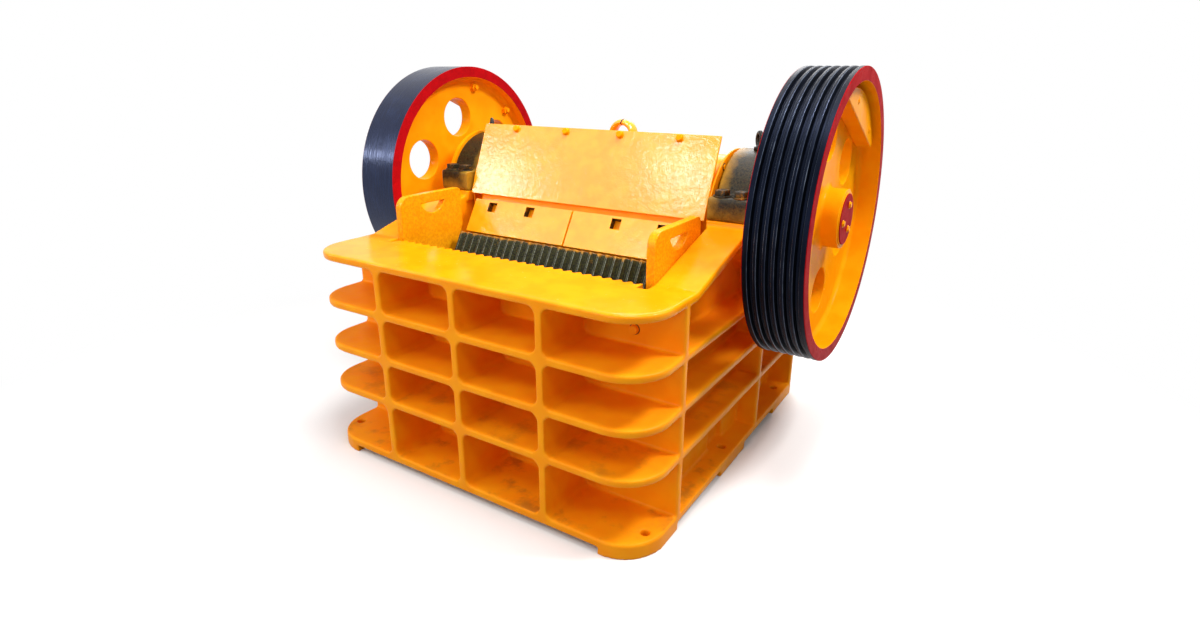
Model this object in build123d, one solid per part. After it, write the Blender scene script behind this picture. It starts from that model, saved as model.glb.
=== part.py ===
"""A fine jaw crusher with a 250 by 1000 mm feed mouth.

A ribbed box frame carries an eccentric shaft across its top. The shaft has a
plain flywheel on one end and a grooved pulley on the other, and the swing jaw
hangs on its eccentric. Y runs from the front of the frame to its rear, Z is up,
and X is along the shaft. The model is built with Y measured from the front edge
of the base, and is moved at the end so that the centre of the anchor holes, on
the floor, is the origin.

The width, length and height of the frame drive the rest: a piece takes its
place from them and from a named clearance, so it follows when one of them
changes.
"""
from build123d import *
from math import cos, radians, sin
import os

# Frame
flange_half_width = 667.0
frame_length = 1338.0
top_height = 744.0
front_reach = 217.0
plate = 25.0
wall = 25.0
pad_height = 25.0
corner_radius = 140.0
edge_round = 6.0
shelf_shares = (0.30692, 0.53026, 0.76081)
flange_overhang = 100.0
side_thickness = 40.0
rib_thickness = 24.0
rib_inset = 21.0
cell_radius = 24.0
rib_flare = 16.0
relief_depth = 20.0
relief_before_anchor = 50.5
relief_behind_anchor = 66.5

# Anchor holes and feet
anchor_edge = 47.0
anchor_front = 103.0
anchor_from_rear = 88.0
anchor_hole_radius = 15.0
pad_length = 228.0
pad_width = 147.0

# Shaft line
shaft_share = 0.33
shaft_rise = 122.4
eccentricity = 10.0
counterweight_angle = 67.0
journal_radius = 65.0
eccentric_radius = 80.0
running_gap = 0.05
fit_gap = 0.05

# Bearing housings and the side flanges that climb to them
housing_over_wall = 7.0
housing_from_edge = 12.0
housing_radius = 207.0
seat_reach = 270.5
cap_foot = 76.0
seat_foot = 40.0
foot_round = 12.0
cover_lip = 9.0
cover_thickness = 17.0
slope_lead = 73.0
strip_drop = 16.4
rear_shoulder_length = 38.0
rear_step = 26.0
rib_before_shaft = 38.5

# Wheels
wheel_radius = 475.0
rim_thickness = 43.5
cover_gap = 48.5
flywheel_width = 180.0
pulley_width = 186.0
web_inset = 52.5
web_thickness = 54.0
web_fillet = 18.0
hub_radius = 98.0
hub_inset = 14.5
hub_length = 159.0
end_disc_radius = 84.0
end_disc_thickness = 12.0
web_hole_radius = 80.5
web_hole_shift = 3.25
web_hole_count = 6
web_hole_first = 37.0
groove_count = 6
groove_pitch = 27.0
groove_top = 18.0
groove_bottom = 9.0
groove_depth = 16.0
weight_chord_share = 0.765
weight_gap = 0.5
weight_half_angle = 36.0
weight_thickness = 53.0

# Jaws: the top of the moving plate hangs before the shaft. Its bottom is a share of
# the reach from the front wall to the shaft, and of the frame's height, and its knee
# a share of the way between them
cheek_thickness = 27.0
fixed_jaw_thickness = 35.0
fixed_jaw_side_gap = 2.0
fixed_jaw_above_base = 100.0
tooth_depth = 14.0
tooth_count = 28
tooth_tip = 7.0
moving_side_gap = 33.0
moving_top_before_shaft = 386.5
moving_top_drop = 11.0
moving_bottom_shares = (0.1507, 0.33602)
moving_knee_shares = (0.28351, 0.18841)
moving_thickness = 62.0
bar_set_back = 35.0
bar_lift = 14.0
bar_length = 137.0
bar_gap = 6.0
bar_side_inset = 1.0
bar_hole = 18.0
bar_hole_height = 108.0
bar_hole_shares = (0.40685, 0.79657)

# Swing jaw casting
head_radius = 190.0
head_side_gap = 17.0
casting_side_inset = 3.0
jaw_skin = 45.0
jaw_rib = 40.0
jaw_rib_shares = (-1.0, -0.5, 0.0, 0.5, 1.0)
shoulder_rise = 160.0
ledge_back = 12.0
ledge_rise = 36.0
crown_angle = 30.0
belly_angle = 75.0
toe_depth = 120.0
toe_lean = 30.0
toe_shoulder = 60.0

# Toggle plate, its block and the cross beam
toggle_above_jaw = 80.0
toggle_side_inset = 64.0
toggle_thickness = 40.0
toggle_lift = 90.0
toggle_end_gap = 2.0
toggle_open_gap = 20.0
socket_depth = 14.0
socket_side_gap = 10.0
socket_gap = 6.0
block_height = 110.0
block_depth = 94.6
block_side_margin = 20.0
beam_from_rear = 338.0
beam_depth = 110.0
beam_height = 230.0
beam_round = 20.0

# Tension rods
rod_from_wall = 277.0
rod_radius = 16.0
rod_below_jaw = 60.0
rod_reach = 698.0
rod_tail = 10.0
rod_hole_radius = 22.0
spring_radius = 30.0
spring_wire = 5.0
spring_length = 34.0
nut_radius = 36.0
nut_thickness = 10.0

# Guard plate over the head, from the jaw's shoulder to a place above the shaft
guard_over_head = 4.0
guard_before_shoulder = 9.825
guard_over_shoulder = 23.136
guard_top_before_shaft = 151.5
guard_top_over_shaft = 257.6
guard_thickness = 8.0
bracket_shares = (-0.7, -0.2326, 0.2326, 0.7)
bracket_thickness = 14.0
bracket_top_inset = 8.0
bracket_low_share = 0.55
bracket_root_share = 0.955
bracket_root_angles = (108.4, 141.3)
eye_behind_shaft = 76.5
eye_radius = 43.0
eye_wire = 11.0
eye_stem = 10.0
eye_collar_radius = 22.0
eye_collar_top = 20.0
eye_collar_depth = 10.0

# Cheek plates
cheek_front_gap = 10.0
cheek_guard_gap = 67.0
cheek_rise = 149.0
cheek_drop = 444.0
cheek_toe_share = 0.49196
cheek_round = 45.0
hand_hole_front_share = 0.31511
hand_hole_width_share = 0.38585
hand_hole_from_top = 36.0
hand_hole_depth = 40.0

cut_margin = 1.0

# Levels and walls that follow from these
floor_top = pad_height + plate
shelf_tops = tuple(floor_top + share * (top_height - floor_top) for share in shelf_shares)
shelf_levels = (floor_top,) + shelf_tops + (top_height,)
side_outer = flange_half_width - flange_overhang
side_inner = side_outer - side_thickness
wall_rear = front_reach + wall
rear_wall_front = frame_length - wall
rib_pitch = (flange_half_width - rib_inset) / 2
anchor_x = flange_half_width - anchor_edge
anchor_rear = frame_length - anchor_from_rear
anchor_mid = (anchor_front + anchor_rear) / 2

# The shaft, its bearings and its wheels
axis_y = frame_length - shaft_share * anchor_rear
axis_z = top_height + shaft_rise
eccentric_y = axis_y - eccentricity * cos(radians(counterweight_angle))
eccentric_z = axis_z - eccentricity * sin(radians(counterweight_angle))
housing_inner = side_inner - housing_over_wall
housing_outer = flange_half_width - housing_from_edge
seat_front = axis_y - seat_reach
seat_rear = axis_y + seat_reach
slope_start = front_reach + slope_lead
strip_end_height = axis_z - strip_drop
rear_shoulder = frame_length - rear_shoulder_length
rear_height = top_height + rear_step
side_rib_front = axis_y - rib_before_shaft
rim_inner_face = housing_outer + cover_thickness + cover_gap
rim_inner_radius = wheel_radius - rim_thickness
web_inner_face = rim_inner_face + web_inset
web_outer_face = web_inner_face + web_thickness
hub_inner_face = rim_inner_face + hub_inset
hub_outer_face = hub_inner_face + hub_length
web_hole_circle = (hub_radius + rim_inner_radius) / 2 + web_hole_shift

# The jaws and the plates round the mouth
mouth_half_width = side_inner - cheek_thickness
moving_half_width = mouth_half_width - moving_side_gap
jaw_half_width = moving_half_width - casting_side_inset
head_half_width = housing_inner - head_side_gap
cheek_front = wall_rear + fixed_jaw_thickness + cheek_front_gap
cheek_top = top_height + cheek_rise
cheek_bottom = top_height - cheek_drop
beam_front = frame_length - beam_from_rear


def block(x_range, y_range, z_range):
    """A box between two limits on each axis."""
    sizes = [high - low for low, high in (x_range, y_range, z_range)]
    centre = [(high + low) / 2 for low, high in (x_range, y_range, z_range)]
    return Pos(*centre) * Box(*sizes)


def side_plate(points, x_low, x_high):
    """A plate whose outline lies in the YZ plane."""
    outline = make_face(Polyline(*points, close=True))
    return extrude(Plane.YZ.offset(x_low) * outline, x_high - x_low)


def across(radius, y, z, x_low, x_high):
    """A cylinder along X."""
    return extrude(Plane.YZ.offset(x_low) * (Pos(y, z) * Circle(radius)), x_high - x_low)


def along(radius, x, z, y_low, y_high):
    """A cylinder along Y."""
    return Pos(x, (y_low + y_high) / 2, z) * Rot(90, 0, 0) * Cylinder(radius, y_high - y_low)


def round_point(y, z, radius, angle):
    """A point on a circle in the YZ plane, its angle counted from the rear upwards."""
    return y + radius * cos(radians(angle)), z + radius * sin(radians(angle))


def mirrored(shape):
    """The same piece on the other side of the machine."""
    return mirror(shape, Plane.YZ)


def both_sides(shape):
    """A piece of the right side together with its mirror image."""
    return Compound([shape, mirrored(shape)])


def anchor_holes():
    """Six drills through the base flange and the foot pads."""
    drill = Cylinder(anchor_hole_radius, 4 * floor_top)
    places = [(x, y) for x in (-anchor_x, anchor_x) for y in (anchor_front, anchor_mid, anchor_rear)]
    return [Pos(x, y, 0) * drill for x, y in places]


def flange_outline(rear):
    """The plan of a front flange, with its two large front corners."""
    plan = Pos(0, rear / 2) * Rectangle(2 * flange_half_width, rear)
    front_corners = plan.vertices().sort_by(Axis.Y)[:2]
    return fillet(front_corners, corner_radius)


def front_flange(top, rear):
    """One front flange with softened upper and lower rims."""
    slab = Pos(0, 0, top - plate) * extrude(flange_outline(rear), plate)
    upper = slab.edges().group_by(Axis.Z)[-1]
    lower = slab.edges().group_by(Axis.Z)[0]
    rims = [e for e in upper + lower if e.center().Y < rear - cut_margin]
    return fillet(rims, edge_round)


def front_shelves():
    """The three flanges across the front, between the base and the top."""
    return Compound([front_flange(top, front_reach) for top in shelf_tops])


def base_front():
    """The front of the base flange, with two anchor holes."""
    slab = Pos(0, 0, pad_height) * extrude(flange_outline(wall_rear), plate)
    rims = [e for e in slab.edges().group_by(Axis.Z)[-1] if e.center().Y < wall_rear - cut_margin]
    slab = fillet(rims, edge_round)
    return slab - anchor_holes()


def base_side():
    """The base flange along the right side wall, with two anchor holes."""
    slab = block((side_inner, flange_half_width), (wall_rear, frame_length), (pad_height, floor_top))
    return slab - anchor_holes()


def foot_pads():
    """Machined pads under the four corners and under the middle of each side."""
    corner_plan = extrude(flange_outline(frame_length), pad_height)
    inner = flange_half_width - pad_width
    pads = []
    ranges = (
        (0, pad_length),
        (anchor_mid - pad_length / 2, anchor_mid + pad_length / 2),
        (frame_length - pad_length, frame_length),
    )
    for y_range in ranges:
        pad = block((inner, flange_half_width), y_range, (0, pad_height))
        pad = (pad & corner_plan) - anchor_holes()
        pads += [pad, mirrored(pad)]
    return Compound(pads)


def front_wall():
    """The wall behind the fixed jaw plate."""
    x_range = (-flange_half_width, flange_half_width)
    return block(x_range, (front_reach, wall_rear), (floor_top, top_height - plate))


def rod_height():
    """The height of the tension rods, under the moving plate."""
    return moving_bottom().Z - rod_below_jaw


def rod_places():
    """The X of the two tension rods."""
    return -side_inner + rod_from_wall, side_inner - rod_from_wall


def rear_wall():
    """The rear wall, with a hole for each tension rod."""
    x_range = (-flange_half_width, flange_half_width)
    body = block(x_range, (rear_wall_front, frame_length), (floor_top, rear_height - plate))
    holes = [along(rod_hole_radius, x, rod_height(), 0, 2 * frame_length) for x in rod_places()]
    return body - holes


def cell_window(x, low, high):
    """The rounded opening between two ribs and two flanges, in the XZ plane."""
    window = RectangleRounded(rib_pitch - rib_thickness, high - low, cell_radius)
    return Pos(x, (low + high) / 2) * window


def front_ribs():
    """Ribs between the front flanges, with cast fillets where they meet."""
    ribs = []
    for low, top in zip(shelf_levels[:-1], shelf_levels[1:]):
        high = top - plate
        for place in (-rib_pitch, 0, rib_pitch):
            strip = Pos(place, (low + high) / 2) * Rectangle(rib_thickness + 2 * rib_flare, high - low)
            for x in (place - rib_pitch / 2, place + rib_pitch / 2):
                strip -= cell_window(x, low, high)
            ribs.append(extrude(Plane.XZ * strip, -front_reach))
    return Compound(ribs)


def side_wall():
    """The right side wall, with a round seat cut for the bearing housing."""
    outline = [
        (wall_rear, floor_top),
        (rear_wall_front, floor_top),
        (rear_wall_front, rear_height - plate),
        (rear_shoulder, rear_height - plate),
        (seat_rear, strip_end_height - plate),
        (seat_rear, axis_z - seat_foot),
        (seat_front, axis_z - seat_foot),
        (seat_front, strip_end_height - plate),
        (slope_start, top_height - plate),
        (wall_rear, top_height - plate),
    ]
    body = side_plate(outline, side_inner, side_outer)
    return body - across(housing_radius, axis_y, axis_z, side_inner, side_outer)


def top_side():
    """The flange on a side wall: a climbing strip before the bearing, another behind."""
    front = [
        (wall_rear, top_height - plate),
        (slope_start, top_height - plate),
        (seat_front, strip_end_height - plate),
        (seat_front, strip_end_height),
        (slope_start, top_height),
        (wall_rear, top_height),
    ]
    rear = [
        (seat_rear, strip_end_height - plate),
        (rear_shoulder, rear_height - plate),
        (frame_length, rear_height - plate),
        (frame_length, rear_height),
        (rear_shoulder, rear_height),
        (seat_rear, strip_end_height),
    ]
    strips = [side_plate(points, side_inner, flange_half_width) for points in (front, rear)]
    return Compound(strips)


def top_rear():
    """The flange on the rear wall, between the two side flanges."""
    y_range = (rear_shoulder - plate, frame_length)
    return block((-side_inner, side_inner), y_range, (rear_height - plate, rear_height))


def side_shelves():
    """The three flanges along the right side wall."""
    shelves = []
    for top in shelf_tops:
        slab = block((side_outer, flange_half_width), (wall_rear, rear_wall_front), (top - plate, top))
        rims = slab.edges().filter_by(Axis.Y).group_by(Axis.X)[-1]
        shelves.append(fillet(rims, edge_round))
    return Compound(shelves)


def side_ribs():
    """The rib under the bearing, and the thick wall on both sides of the middle anchor."""
    rib_range = (side_rib_front, side_rib_front + plate)
    pieces = []
    for low, top in zip(shelf_levels[:-2], shelf_levels[1:-1]):
        pieces.append(block((side_outer, flange_half_width), rib_range, (low, top - plate)))
    upper = block((side_outer, housing_outer), rib_range, (shelf_tops[-1], axis_z))
    pieces.append(upper - across(housing_radius, axis_y, axis_z, side_inner, housing_outer))
    low_range = (floor_top, shelf_tops[0] - plate)
    before = (wall_rear, anchor_mid - relief_before_anchor)
    behind = (anchor_mid + relief_behind_anchor, side_rib_front)
    for y_range in (before, behind):
        pieces.append(block((side_outer, side_outer + relief_depth), y_range, low_range))
    return Compound(pieces)


def shaft_bore():
    """The hole that a bearing housing and its cover leave for the shaft."""
    return across(journal_radius + running_gap, axis_y, axis_z, 0, hub_outer_face)


def housing_half(upper):
    """The upper or the lower half of the round bearing housing, without its foot."""
    z_range = (0, axis_z) if upper else (axis_z, axis_z + 2 * housing_radius)
    rest = block((0, 2 * housing_outer), (axis_y - 2 * housing_radius, axis_y + 2 * housing_radius), z_range)
    return across(housing_radius, axis_y, axis_z, housing_inner, housing_outer) - rest


def bearing_seat():
    """The lower half of a bearing housing, cast with the frame."""
    foot = block((housing_inner, housing_outer), (seat_front, seat_rear), (axis_z - seat_foot, axis_z))
    return housing_half(upper=False) + foot - shaft_bore()


def bearing_cap():
    """The upper half of a bearing housing, a round cap on two long feet."""
    foot = block((housing_inner, housing_outer), (seat_front, seat_rear), (axis_z, axis_z + cap_foot))
    foot = fillet(foot.edges().filter_by(Axis.X), foot_round)
    return housing_half(upper=True) + foot - shaft_bore()


def bearing_cover():
    """The round cover on the outer face of a housing."""
    radius = housing_radius + cover_lip
    disc = across(radius, axis_y, axis_z, housing_outer, housing_outer + cover_thickness)
    return disc - shaft_bore()


def toothed_section(half_width, thickness, shift):
    """A plate section in plan: flat back at 0, tooth tips at minus the thickness."""
    pitch = 2 * half_width / tooth_count
    root = -(thickness - tooth_depth)
    tip = -thickness
    rise = (pitch - 2 * tooth_tip) / 2
    points = [(-half_width, 0), (-half_width, root)]
    for tooth in range(tooth_count):
        start = -half_width + (tooth + shift) * pitch
        row = [(start, root), (start + rise, tip), (start + rise + tooth_tip, tip), (start + pitch - tooth_tip, root)]
        points += [(x, y) for x, y in row if -half_width < x < half_width]
    points += [(half_width, root), (half_width, 0)]
    return points


def fixed_jaw():
    """The toothed plate on the front wall, its teeth between those of the swing jaw."""
    half_width = mouth_half_width - fixed_jaw_side_gap
    points = toothed_section(half_width, fixed_jaw_thickness, 0.5)
    plan = make_face(Polyline(*[(x, wall_rear - y) for x, y in points], close=True))
    bottom = floor_top + fixed_jaw_above_base
    return Pos(0, 0, bottom) * extrude(plan, top_height - bottom)


def moving_top():
    """The tips of the moving teeth at their top."""
    return Vector(0, axis_y - moving_top_before_shaft, top_height - moving_top_drop)


def moving_bottom():
    """The tips of the moving teeth at their bottom."""
    reach_share, height_share = moving_bottom_shares
    return Vector(0, wall_rear + reach_share * (axis_y - wall_rear), height_share * top_height)


def moving_knee():
    """The tips of the moving teeth at the bend."""
    top, bottom = moving_top(), moving_bottom()
    across_share, down_share = moving_knee_shares
    return Vector(0, top.Y + across_share * (bottom.Y - top.Y), top.Z + down_share * (bottom.Z - top.Z))


def moving_jaw():
    """The toothed plate of the swing jaw, bent at the knee."""
    top, knee, bottom = moving_top(), moving_knee(), moving_bottom()
    upper_dir = (knee - top).normalized()
    lower_dir = (bottom - knee).normalized()
    points = toothed_section(moving_half_width, moving_thickness, 0.0)
    halves = []
    bisector = (upper_dir + lower_dir).normalized()
    reach = 2 * moving_thickness
    for start, direction, length in ((top, upper_dir, (knee - top).length), (bottom, -lower_dir, (bottom - knee).length)):
        back = Vector(0, abs(direction.Z), -abs(direction.Y))
        plane = Plane(origin=start + back * moving_thickness, x_dir=(1, 0, 0), z_dir=direction)
        sign = 1 if plane.y_dir.Y > 0 else -1
        face = make_face(Polyline(*[(x, sign * y) for x, y in points], close=True))
        halves.append(extrude(plane * face, length + reach))
    cutter = Plane(origin=knee, x_dir=(1, 0, 0), z_dir=bisector)
    upper = split(halves[0], cutter, keep=Keep.BOTTOM)
    lower = split(halves[1], cutter, keep=Keep.TOP)
    return upper + lower


def jaw_frame():
    """The top of the teeth, the way up the jaw, and the way out of its face."""
    top = moving_top()
    up = (top - moving_knee()).normalized()
    out = Vector(0, -up.Z, up.Y)
    return top, up, out


def jaw_point(rise, depth):
    """A point up the jaw face from the top of the teeth and behind their tips."""
    top, up, out = jaw_frame()
    point = top + up * rise - out * depth
    return point.Y, point.Z


def clamp_bar():
    """The right clamp bar over the top of the toothed plate, with two square holes."""
    low, high = bar_lift, bar_lift + bar_length
    corners = [
        jaw_point(low, bar_set_back),
        jaw_point(high, bar_set_back),
        jaw_point(high, moving_thickness),
        jaw_point(low, moving_thickness),
    ]
    bar = side_plate(corners, bar_gap / 2, moving_half_width - bar_side_inset)
    half = bar_hole / 2
    centre = low + bar_hole_height
    hole = [
        jaw_point(centre - half, bar_set_back - cut_margin),
        jaw_point(centre + half, bar_set_back - cut_margin),
        jaw_point(centre + half, moving_thickness + cut_margin),
        jaw_point(centre - half, moving_thickness + cut_margin),
    ]
    for share in bar_hole_shares:
        place = share * moving_half_width
        bar -= side_plate(hole, place - half, place + half)
    return bar


def jaw_back_line():
    """The line behind the toothed plate: bottom, knee and shoulder."""
    knee, bottom = moving_knee(), moving_bottom()
    low_dir = (knee - bottom).normalized()
    foot = bottom + Vector(0, low_dir.Z, -low_dir.Y) * moving_thickness
    top, up, out = jaw_frame()
    start = top - out * moving_thickness
    spread = (start - foot).cross(up).X / low_dir.cross(up).X
    bend = foot + low_dir * spread
    return (foot.Y, foot.Z), (bend.Y, bend.Z), jaw_point(shoulder_rise, moving_thickness)


def toggle_height():
    """The height of the toggle plate's front edge."""
    return moving_bottom().Z + toggle_above_jaw


def toggle_front():
    """The Y of the toggle plate's front edge, in the toe of the jaw."""
    return jaw_back_line()[0][0] + toe_depth + toggle_end_gap


def toggle_rear():
    """The Y of the toggle plate's rear edge, with a gap before the block."""
    return beam_front - block_depth - toggle_open_gap


def toggle_half_width():
    """Half the width of the toggle plate."""
    return jaw_half_width - toggle_side_inset


def swing_jaw():
    """The swing jaw casting: head, front skin, ribs behind it and the toggle toe."""
    foot, bend, shoulder = jaw_back_line()
    head = across(head_radius, eccentric_y, eccentric_z, -head_half_width, head_half_width)
    crown = round_point(eccentric_y, eccentric_z, head_radius, 180 - crown_angle)
    belly = round_point(eccentric_y, eccentric_z, head_radius, 180 + belly_angle)
    toe_low = (foot[0] + toe_depth, foot[1])
    toe_high = (toe_low[0] + toe_lean, toggle_height() + toe_shoulder)
    ledge = (shoulder[0] + ledge_back, shoulder[1] + ledge_rise)
    face_slope = (bend[0] - foot[0]) / (bend[1] - foot[1])
    skin_above_toe = foot[0] + face_slope * (toe_high[1] - foot[1]) + jaw_skin
    skin = [
        foot,
        bend,
        shoulder,
        ledge,
        crown,
        (crown[0] + jaw_skin, crown[1] - jaw_skin),
        (shoulder[0] + jaw_skin, shoulder[1] - jaw_skin / 2),
        (bend[0] + jaw_skin, bend[1] - jaw_skin / 2),
        (skin_above_toe, toe_high[1]),
        toe_high,
        toe_low,
    ]
    web = [foot, bend, shoulder, ledge, crown, (eccentric_y, eccentric_z), belly, toe_high, toe_low]
    casting = side_plate(skin, -jaw_half_width, jaw_half_width) + head
    for share in jaw_rib_shares:
        place = share * (jaw_half_width - jaw_rib / 2)
        casting += side_plate(web, place - jaw_rib / 2, place + jaw_rib / 2)
    half_width = toggle_half_width() + socket_side_gap
    half_height = toggle_thickness / 2 + socket_gap
    socket = block(
        (-half_width, half_width),
        (toggle_front(), toe_high[0] + socket_depth),
        (toggle_height() - half_height, toggle_height() + half_height),
    )
    bore = across(eccentric_radius + running_gap, eccentric_y, eccentric_z, -head_half_width, head_half_width)
    return casting - socket - bore


def toggle_plate():
    """The toggle plate behind the toe of the jaw."""
    half = toggle_thickness / 2
    low = toggle_height()
    high = low + toggle_lift
    outline = [
        (toggle_front(), low - half),
        (toggle_rear(), high - half),
        (toggle_rear(), high + half),
        (toggle_front(), low + half),
    ]
    return side_plate(outline, -toggle_half_width(), toggle_half_width())


def toggle_block():
    """The adjusting block that takes the rear edge of the toggle plate."""
    centre = toggle_height() + toggle_lift
    half_width = toggle_half_width() + block_side_margin
    return block(
        (-half_width, half_width),
        (beam_front - block_depth, beam_front),
        (centre - block_height / 2, centre + block_height / 2),
    )


def toggle_beam():
    """The cross beam between the side walls."""
    low = toggle_height()
    beam = block((-side_inner, side_inner), (beam_front, beam_front + beam_depth), (low, low + beam_height))
    return fillet(beam.edges().filter_by(Axis.X), beam_round)


def tension_rods():
    """Two pull rods with their nuts and washers, through the rear wall."""
    nut_front = frame_length + spring_length
    nut_rear = nut_front + nut_thickness
    rods = []
    for x in rod_places():
        rod = along(rod_radius, x, rod_height(), frame_length - rod_reach, nut_rear + rod_tail)
        rods.append(rod + along(nut_radius, x, rod_height(), nut_front, nut_rear))
    return Compound(rods)


def tension_springs():
    """A coil spring on each rod, between the rear wall and the washer."""
    height = spring_length - 2 * spring_wire
    coil = Helix(pitch=height / 2, height=height, radius=spring_radius)
    wire = sweep(Plane(origin=coil @ 0, z_dir=coil % 0) * Circle(spring_wire), path=coil)
    start = frame_length + spring_wire
    return Compound([Pos(x, start, rod_height()) * Rot(-90, 0, 0) * wire for x in rod_places()])


def guard_low():
    """The lower edge of the guard plate, just before the jaw's shoulder, in Y and Z."""
    shoulder_y, shoulder_z = jaw_back_line()[2]
    return Vector(shoulder_y - guard_before_shoulder, shoulder_z + guard_over_shoulder)


def guard_line():
    """The lower and upper end of the guard plate, the way up it, and its back offset."""
    low = guard_low()
    high = Vector(axis_y - guard_top_before_shaft, axis_z + guard_top_over_shaft)
    up = (high - low).normalized()
    back = Vector(up.Y, -up.X) * guard_thickness
    return low, high, up, back


def guard_plate():
    """The sloping plate in front of the jaw head."""
    low, high, _, back = guard_line()
    corners = [(p.X, p.Y) for p in (low, high, high + back, low + back)]
    half_width = head_half_width + guard_over_head
    return side_plate(corners, -half_width, half_width)


def guard_brackets():
    """Lugs from the jaw head to the back of the guard plate."""
    low, high, up, back = guard_line()
    length = (high - low).length
    upper = low + up * (length - bracket_top_inset) + back
    lower = low + up * (length * bracket_low_share) + back
    root_radius = bracket_root_share * head_radius
    roots = [round_point(eccentric_y, eccentric_z, root_radius, angle) for angle in bracket_root_angles]
    outline = [(lower.X, lower.Y), (upper.X, upper.Y), *roots]
    head = across(head_radius, eccentric_y, eccentric_z, -head_half_width, head_half_width)
    half = bracket_thickness / 2
    places = [share * head_half_width for share in bracket_shares]
    return Compound([side_plate(outline, x - half, x + half) - head for x in places])


def lifting_eye():
    """An eye bolt on top of the jaw head."""
    eye_y = axis_y + eye_behind_shaft
    drop = head_radius**2 - (eye_y - eccentric_y) ** 2
    surface = eccentric_z + drop**0.5
    ring_z = surface + eye_radius + eye_wire + eye_stem
    ring = Pos(0, eye_y, ring_z) * Rot(90, 0, 0) * Torus(eye_radius, eye_wire)
    collar_height = eye_collar_top + eye_collar_depth
    collar_z = surface + eye_collar_top - collar_height / 2
    collar = Pos(0, eye_y, collar_z) * Cylinder(eye_collar_radius, collar_height)
    head = across(head_radius, eccentric_y, eccentric_z, -head_half_width, head_half_width)
    return ring + (collar - head)


def cheek_plate():
    """The wear plate at the right of the mouth, with a hand hole at its top."""
    cheek_rear = guard_low().X - cheek_guard_gap
    length = cheek_rear - cheek_front
    outline = Polyline(
        (cheek_front, cheek_bottom),
        (cheek_front + cheek_toe_share * length, cheek_bottom),
        (cheek_rear, top_height),
        (cheek_rear, cheek_top),
        (cheek_front, cheek_top),
        close=True,
    )
    face = make_face(outline)
    front_top, rear_top = face.vertices().sort_by(Axis.Y)[-2:].sort_by(Axis.X)
    face = fillet(front_top, cheek_round)
    rear_top = face.vertices().filter_by_position(Axis.X, cheek_rear - cut_margin, cheek_rear + cut_margin)
    face = fillet(rear_top.sort_by(Axis.Y)[-1], cheek_round / 2)
    hole_top = cheek_top - hand_hole_from_top
    hole_front = cheek_front + hand_hole_front_share * length
    hole_rear = hole_front + hand_hole_width_share * length
    lowest = ((hole_front + hole_rear) / 2, hole_top - hand_hole_depth)
    arc = ThreePointArc((hole_rear, hole_top), lowest, (hole_front, hole_top))
    hole = make_face(Polyline((hole_front, hole_top), (hole_rear, hole_top)) + arc)
    return extrude(Plane.YZ.offset(mouth_half_width) * (face - hole), cheek_thickness)


def eccentric_shaft():
    """The shaft: two journals and the eccentric that carries the jaw."""
    journal = across(journal_radius, axis_y, axis_z, -hub_outer_face, hub_outer_face)
    eccentric = across(eccentric_radius, eccentric_y, eccentric_z, -head_half_width, head_half_width)
    return journal + eccentric


def turned(section):
    """A section in radius and X, turned about the shaft line."""
    return Pos(0, axis_y, axis_z) * Rot(0, 90, 0) * revolve(Plane.XZ * section, Axis.Z)


def ring_section(low_radius, high_radius, x_low, x_high):
    """A rectangle in radius and X."""
    corners = [(low_radius, x_low), (high_radius, x_low), (high_radius, x_high), (low_radius, x_high)]
    return make_face(Polyline(*corners, close=True))


def wheel_rim(width):
    """The plain rim of the right wheel."""
    return turned(ring_section(rim_inner_radius, wheel_radius, rim_inner_face, rim_inner_face + width))


def wheel_web():
    """The web of the right wheel with its round holes, and the hub."""
    bore = journal_radius + fit_gap
    hub = ring_section(bore, hub_radius, hub_inner_face, hub_outer_face)
    web = ring_section(bore, rim_inner_radius, web_inner_face, web_outer_face)
    rim = ring_section(rim_inner_radius, wheel_radius, rim_inner_face, hub_outer_face)
    section = hub + web + rim
    faces_of_web = (web_inner_face, web_outer_face)
    inside = [v for v in section.vertices() if min(abs(v.Y - face) for face in faces_of_web) < cut_margin]
    section = fillet(inside, web_fillet) - rim
    wheel = turned(section)
    for number in range(web_hole_count):
        angle = web_hole_first + 360 / web_hole_count * number
        y, z = round_point(axis_y, axis_z, web_hole_circle, angle)
        wheel -= across(web_hole_radius, y, z, rim_inner_face, hub_outer_face)
    return wheel


def pulley_rim():
    """The rim of the driven wheel, with V grooves round it."""
    rim = wheel_rim(pulley_width)
    middle = rim_inner_face + pulley_width / 2
    for number in range(groove_count):
        centre = middle + (number - (groove_count - 1) / 2) * groove_pitch
        corners = [
            (wheel_radius + cut_margin, centre - groove_top / 2),
            (wheel_radius + cut_margin, centre + groove_top / 2),
            (wheel_radius - groove_depth, centre + groove_bottom / 2),
            (wheel_radius - groove_depth, centre - groove_bottom / 2),
        ]
        rim -= turned(make_face(Polyline(*corners, close=True)))
    return rim


def counterweight():
    """A segment bolted in the rim, opposite the eccentric."""
    low = counterweight_angle - weight_half_angle
    high = counterweight_angle + weight_half_angle
    outer = rim_inner_radius - web_fillet - weight_gap
    inner = outer * weight_chord_share / cos(radians(weight_half_angle))
    places = [(outer, high), (inner, high), (inner, low), (outer, low), (outer, counterweight_angle)]
    outer_high, inner_high, inner_low, outer_low, crest = [
        round_point(axis_y, axis_z, radius, angle) for radius, angle in places
    ]
    outline = Polyline(outer_high, inner_high, inner_low, outer_low) + ThreePointArc(outer_low, crest, outer_high)
    return extrude(Plane.YZ.offset(web_outer_face) * make_face(outline), weight_thickness)


def end_disc():
    """The round plate that holds a wheel on the end of the shaft."""
    return across(end_disc_radius, axis_y, axis_z, hub_outer_face, hub_outer_face + end_disc_thickness)


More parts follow.
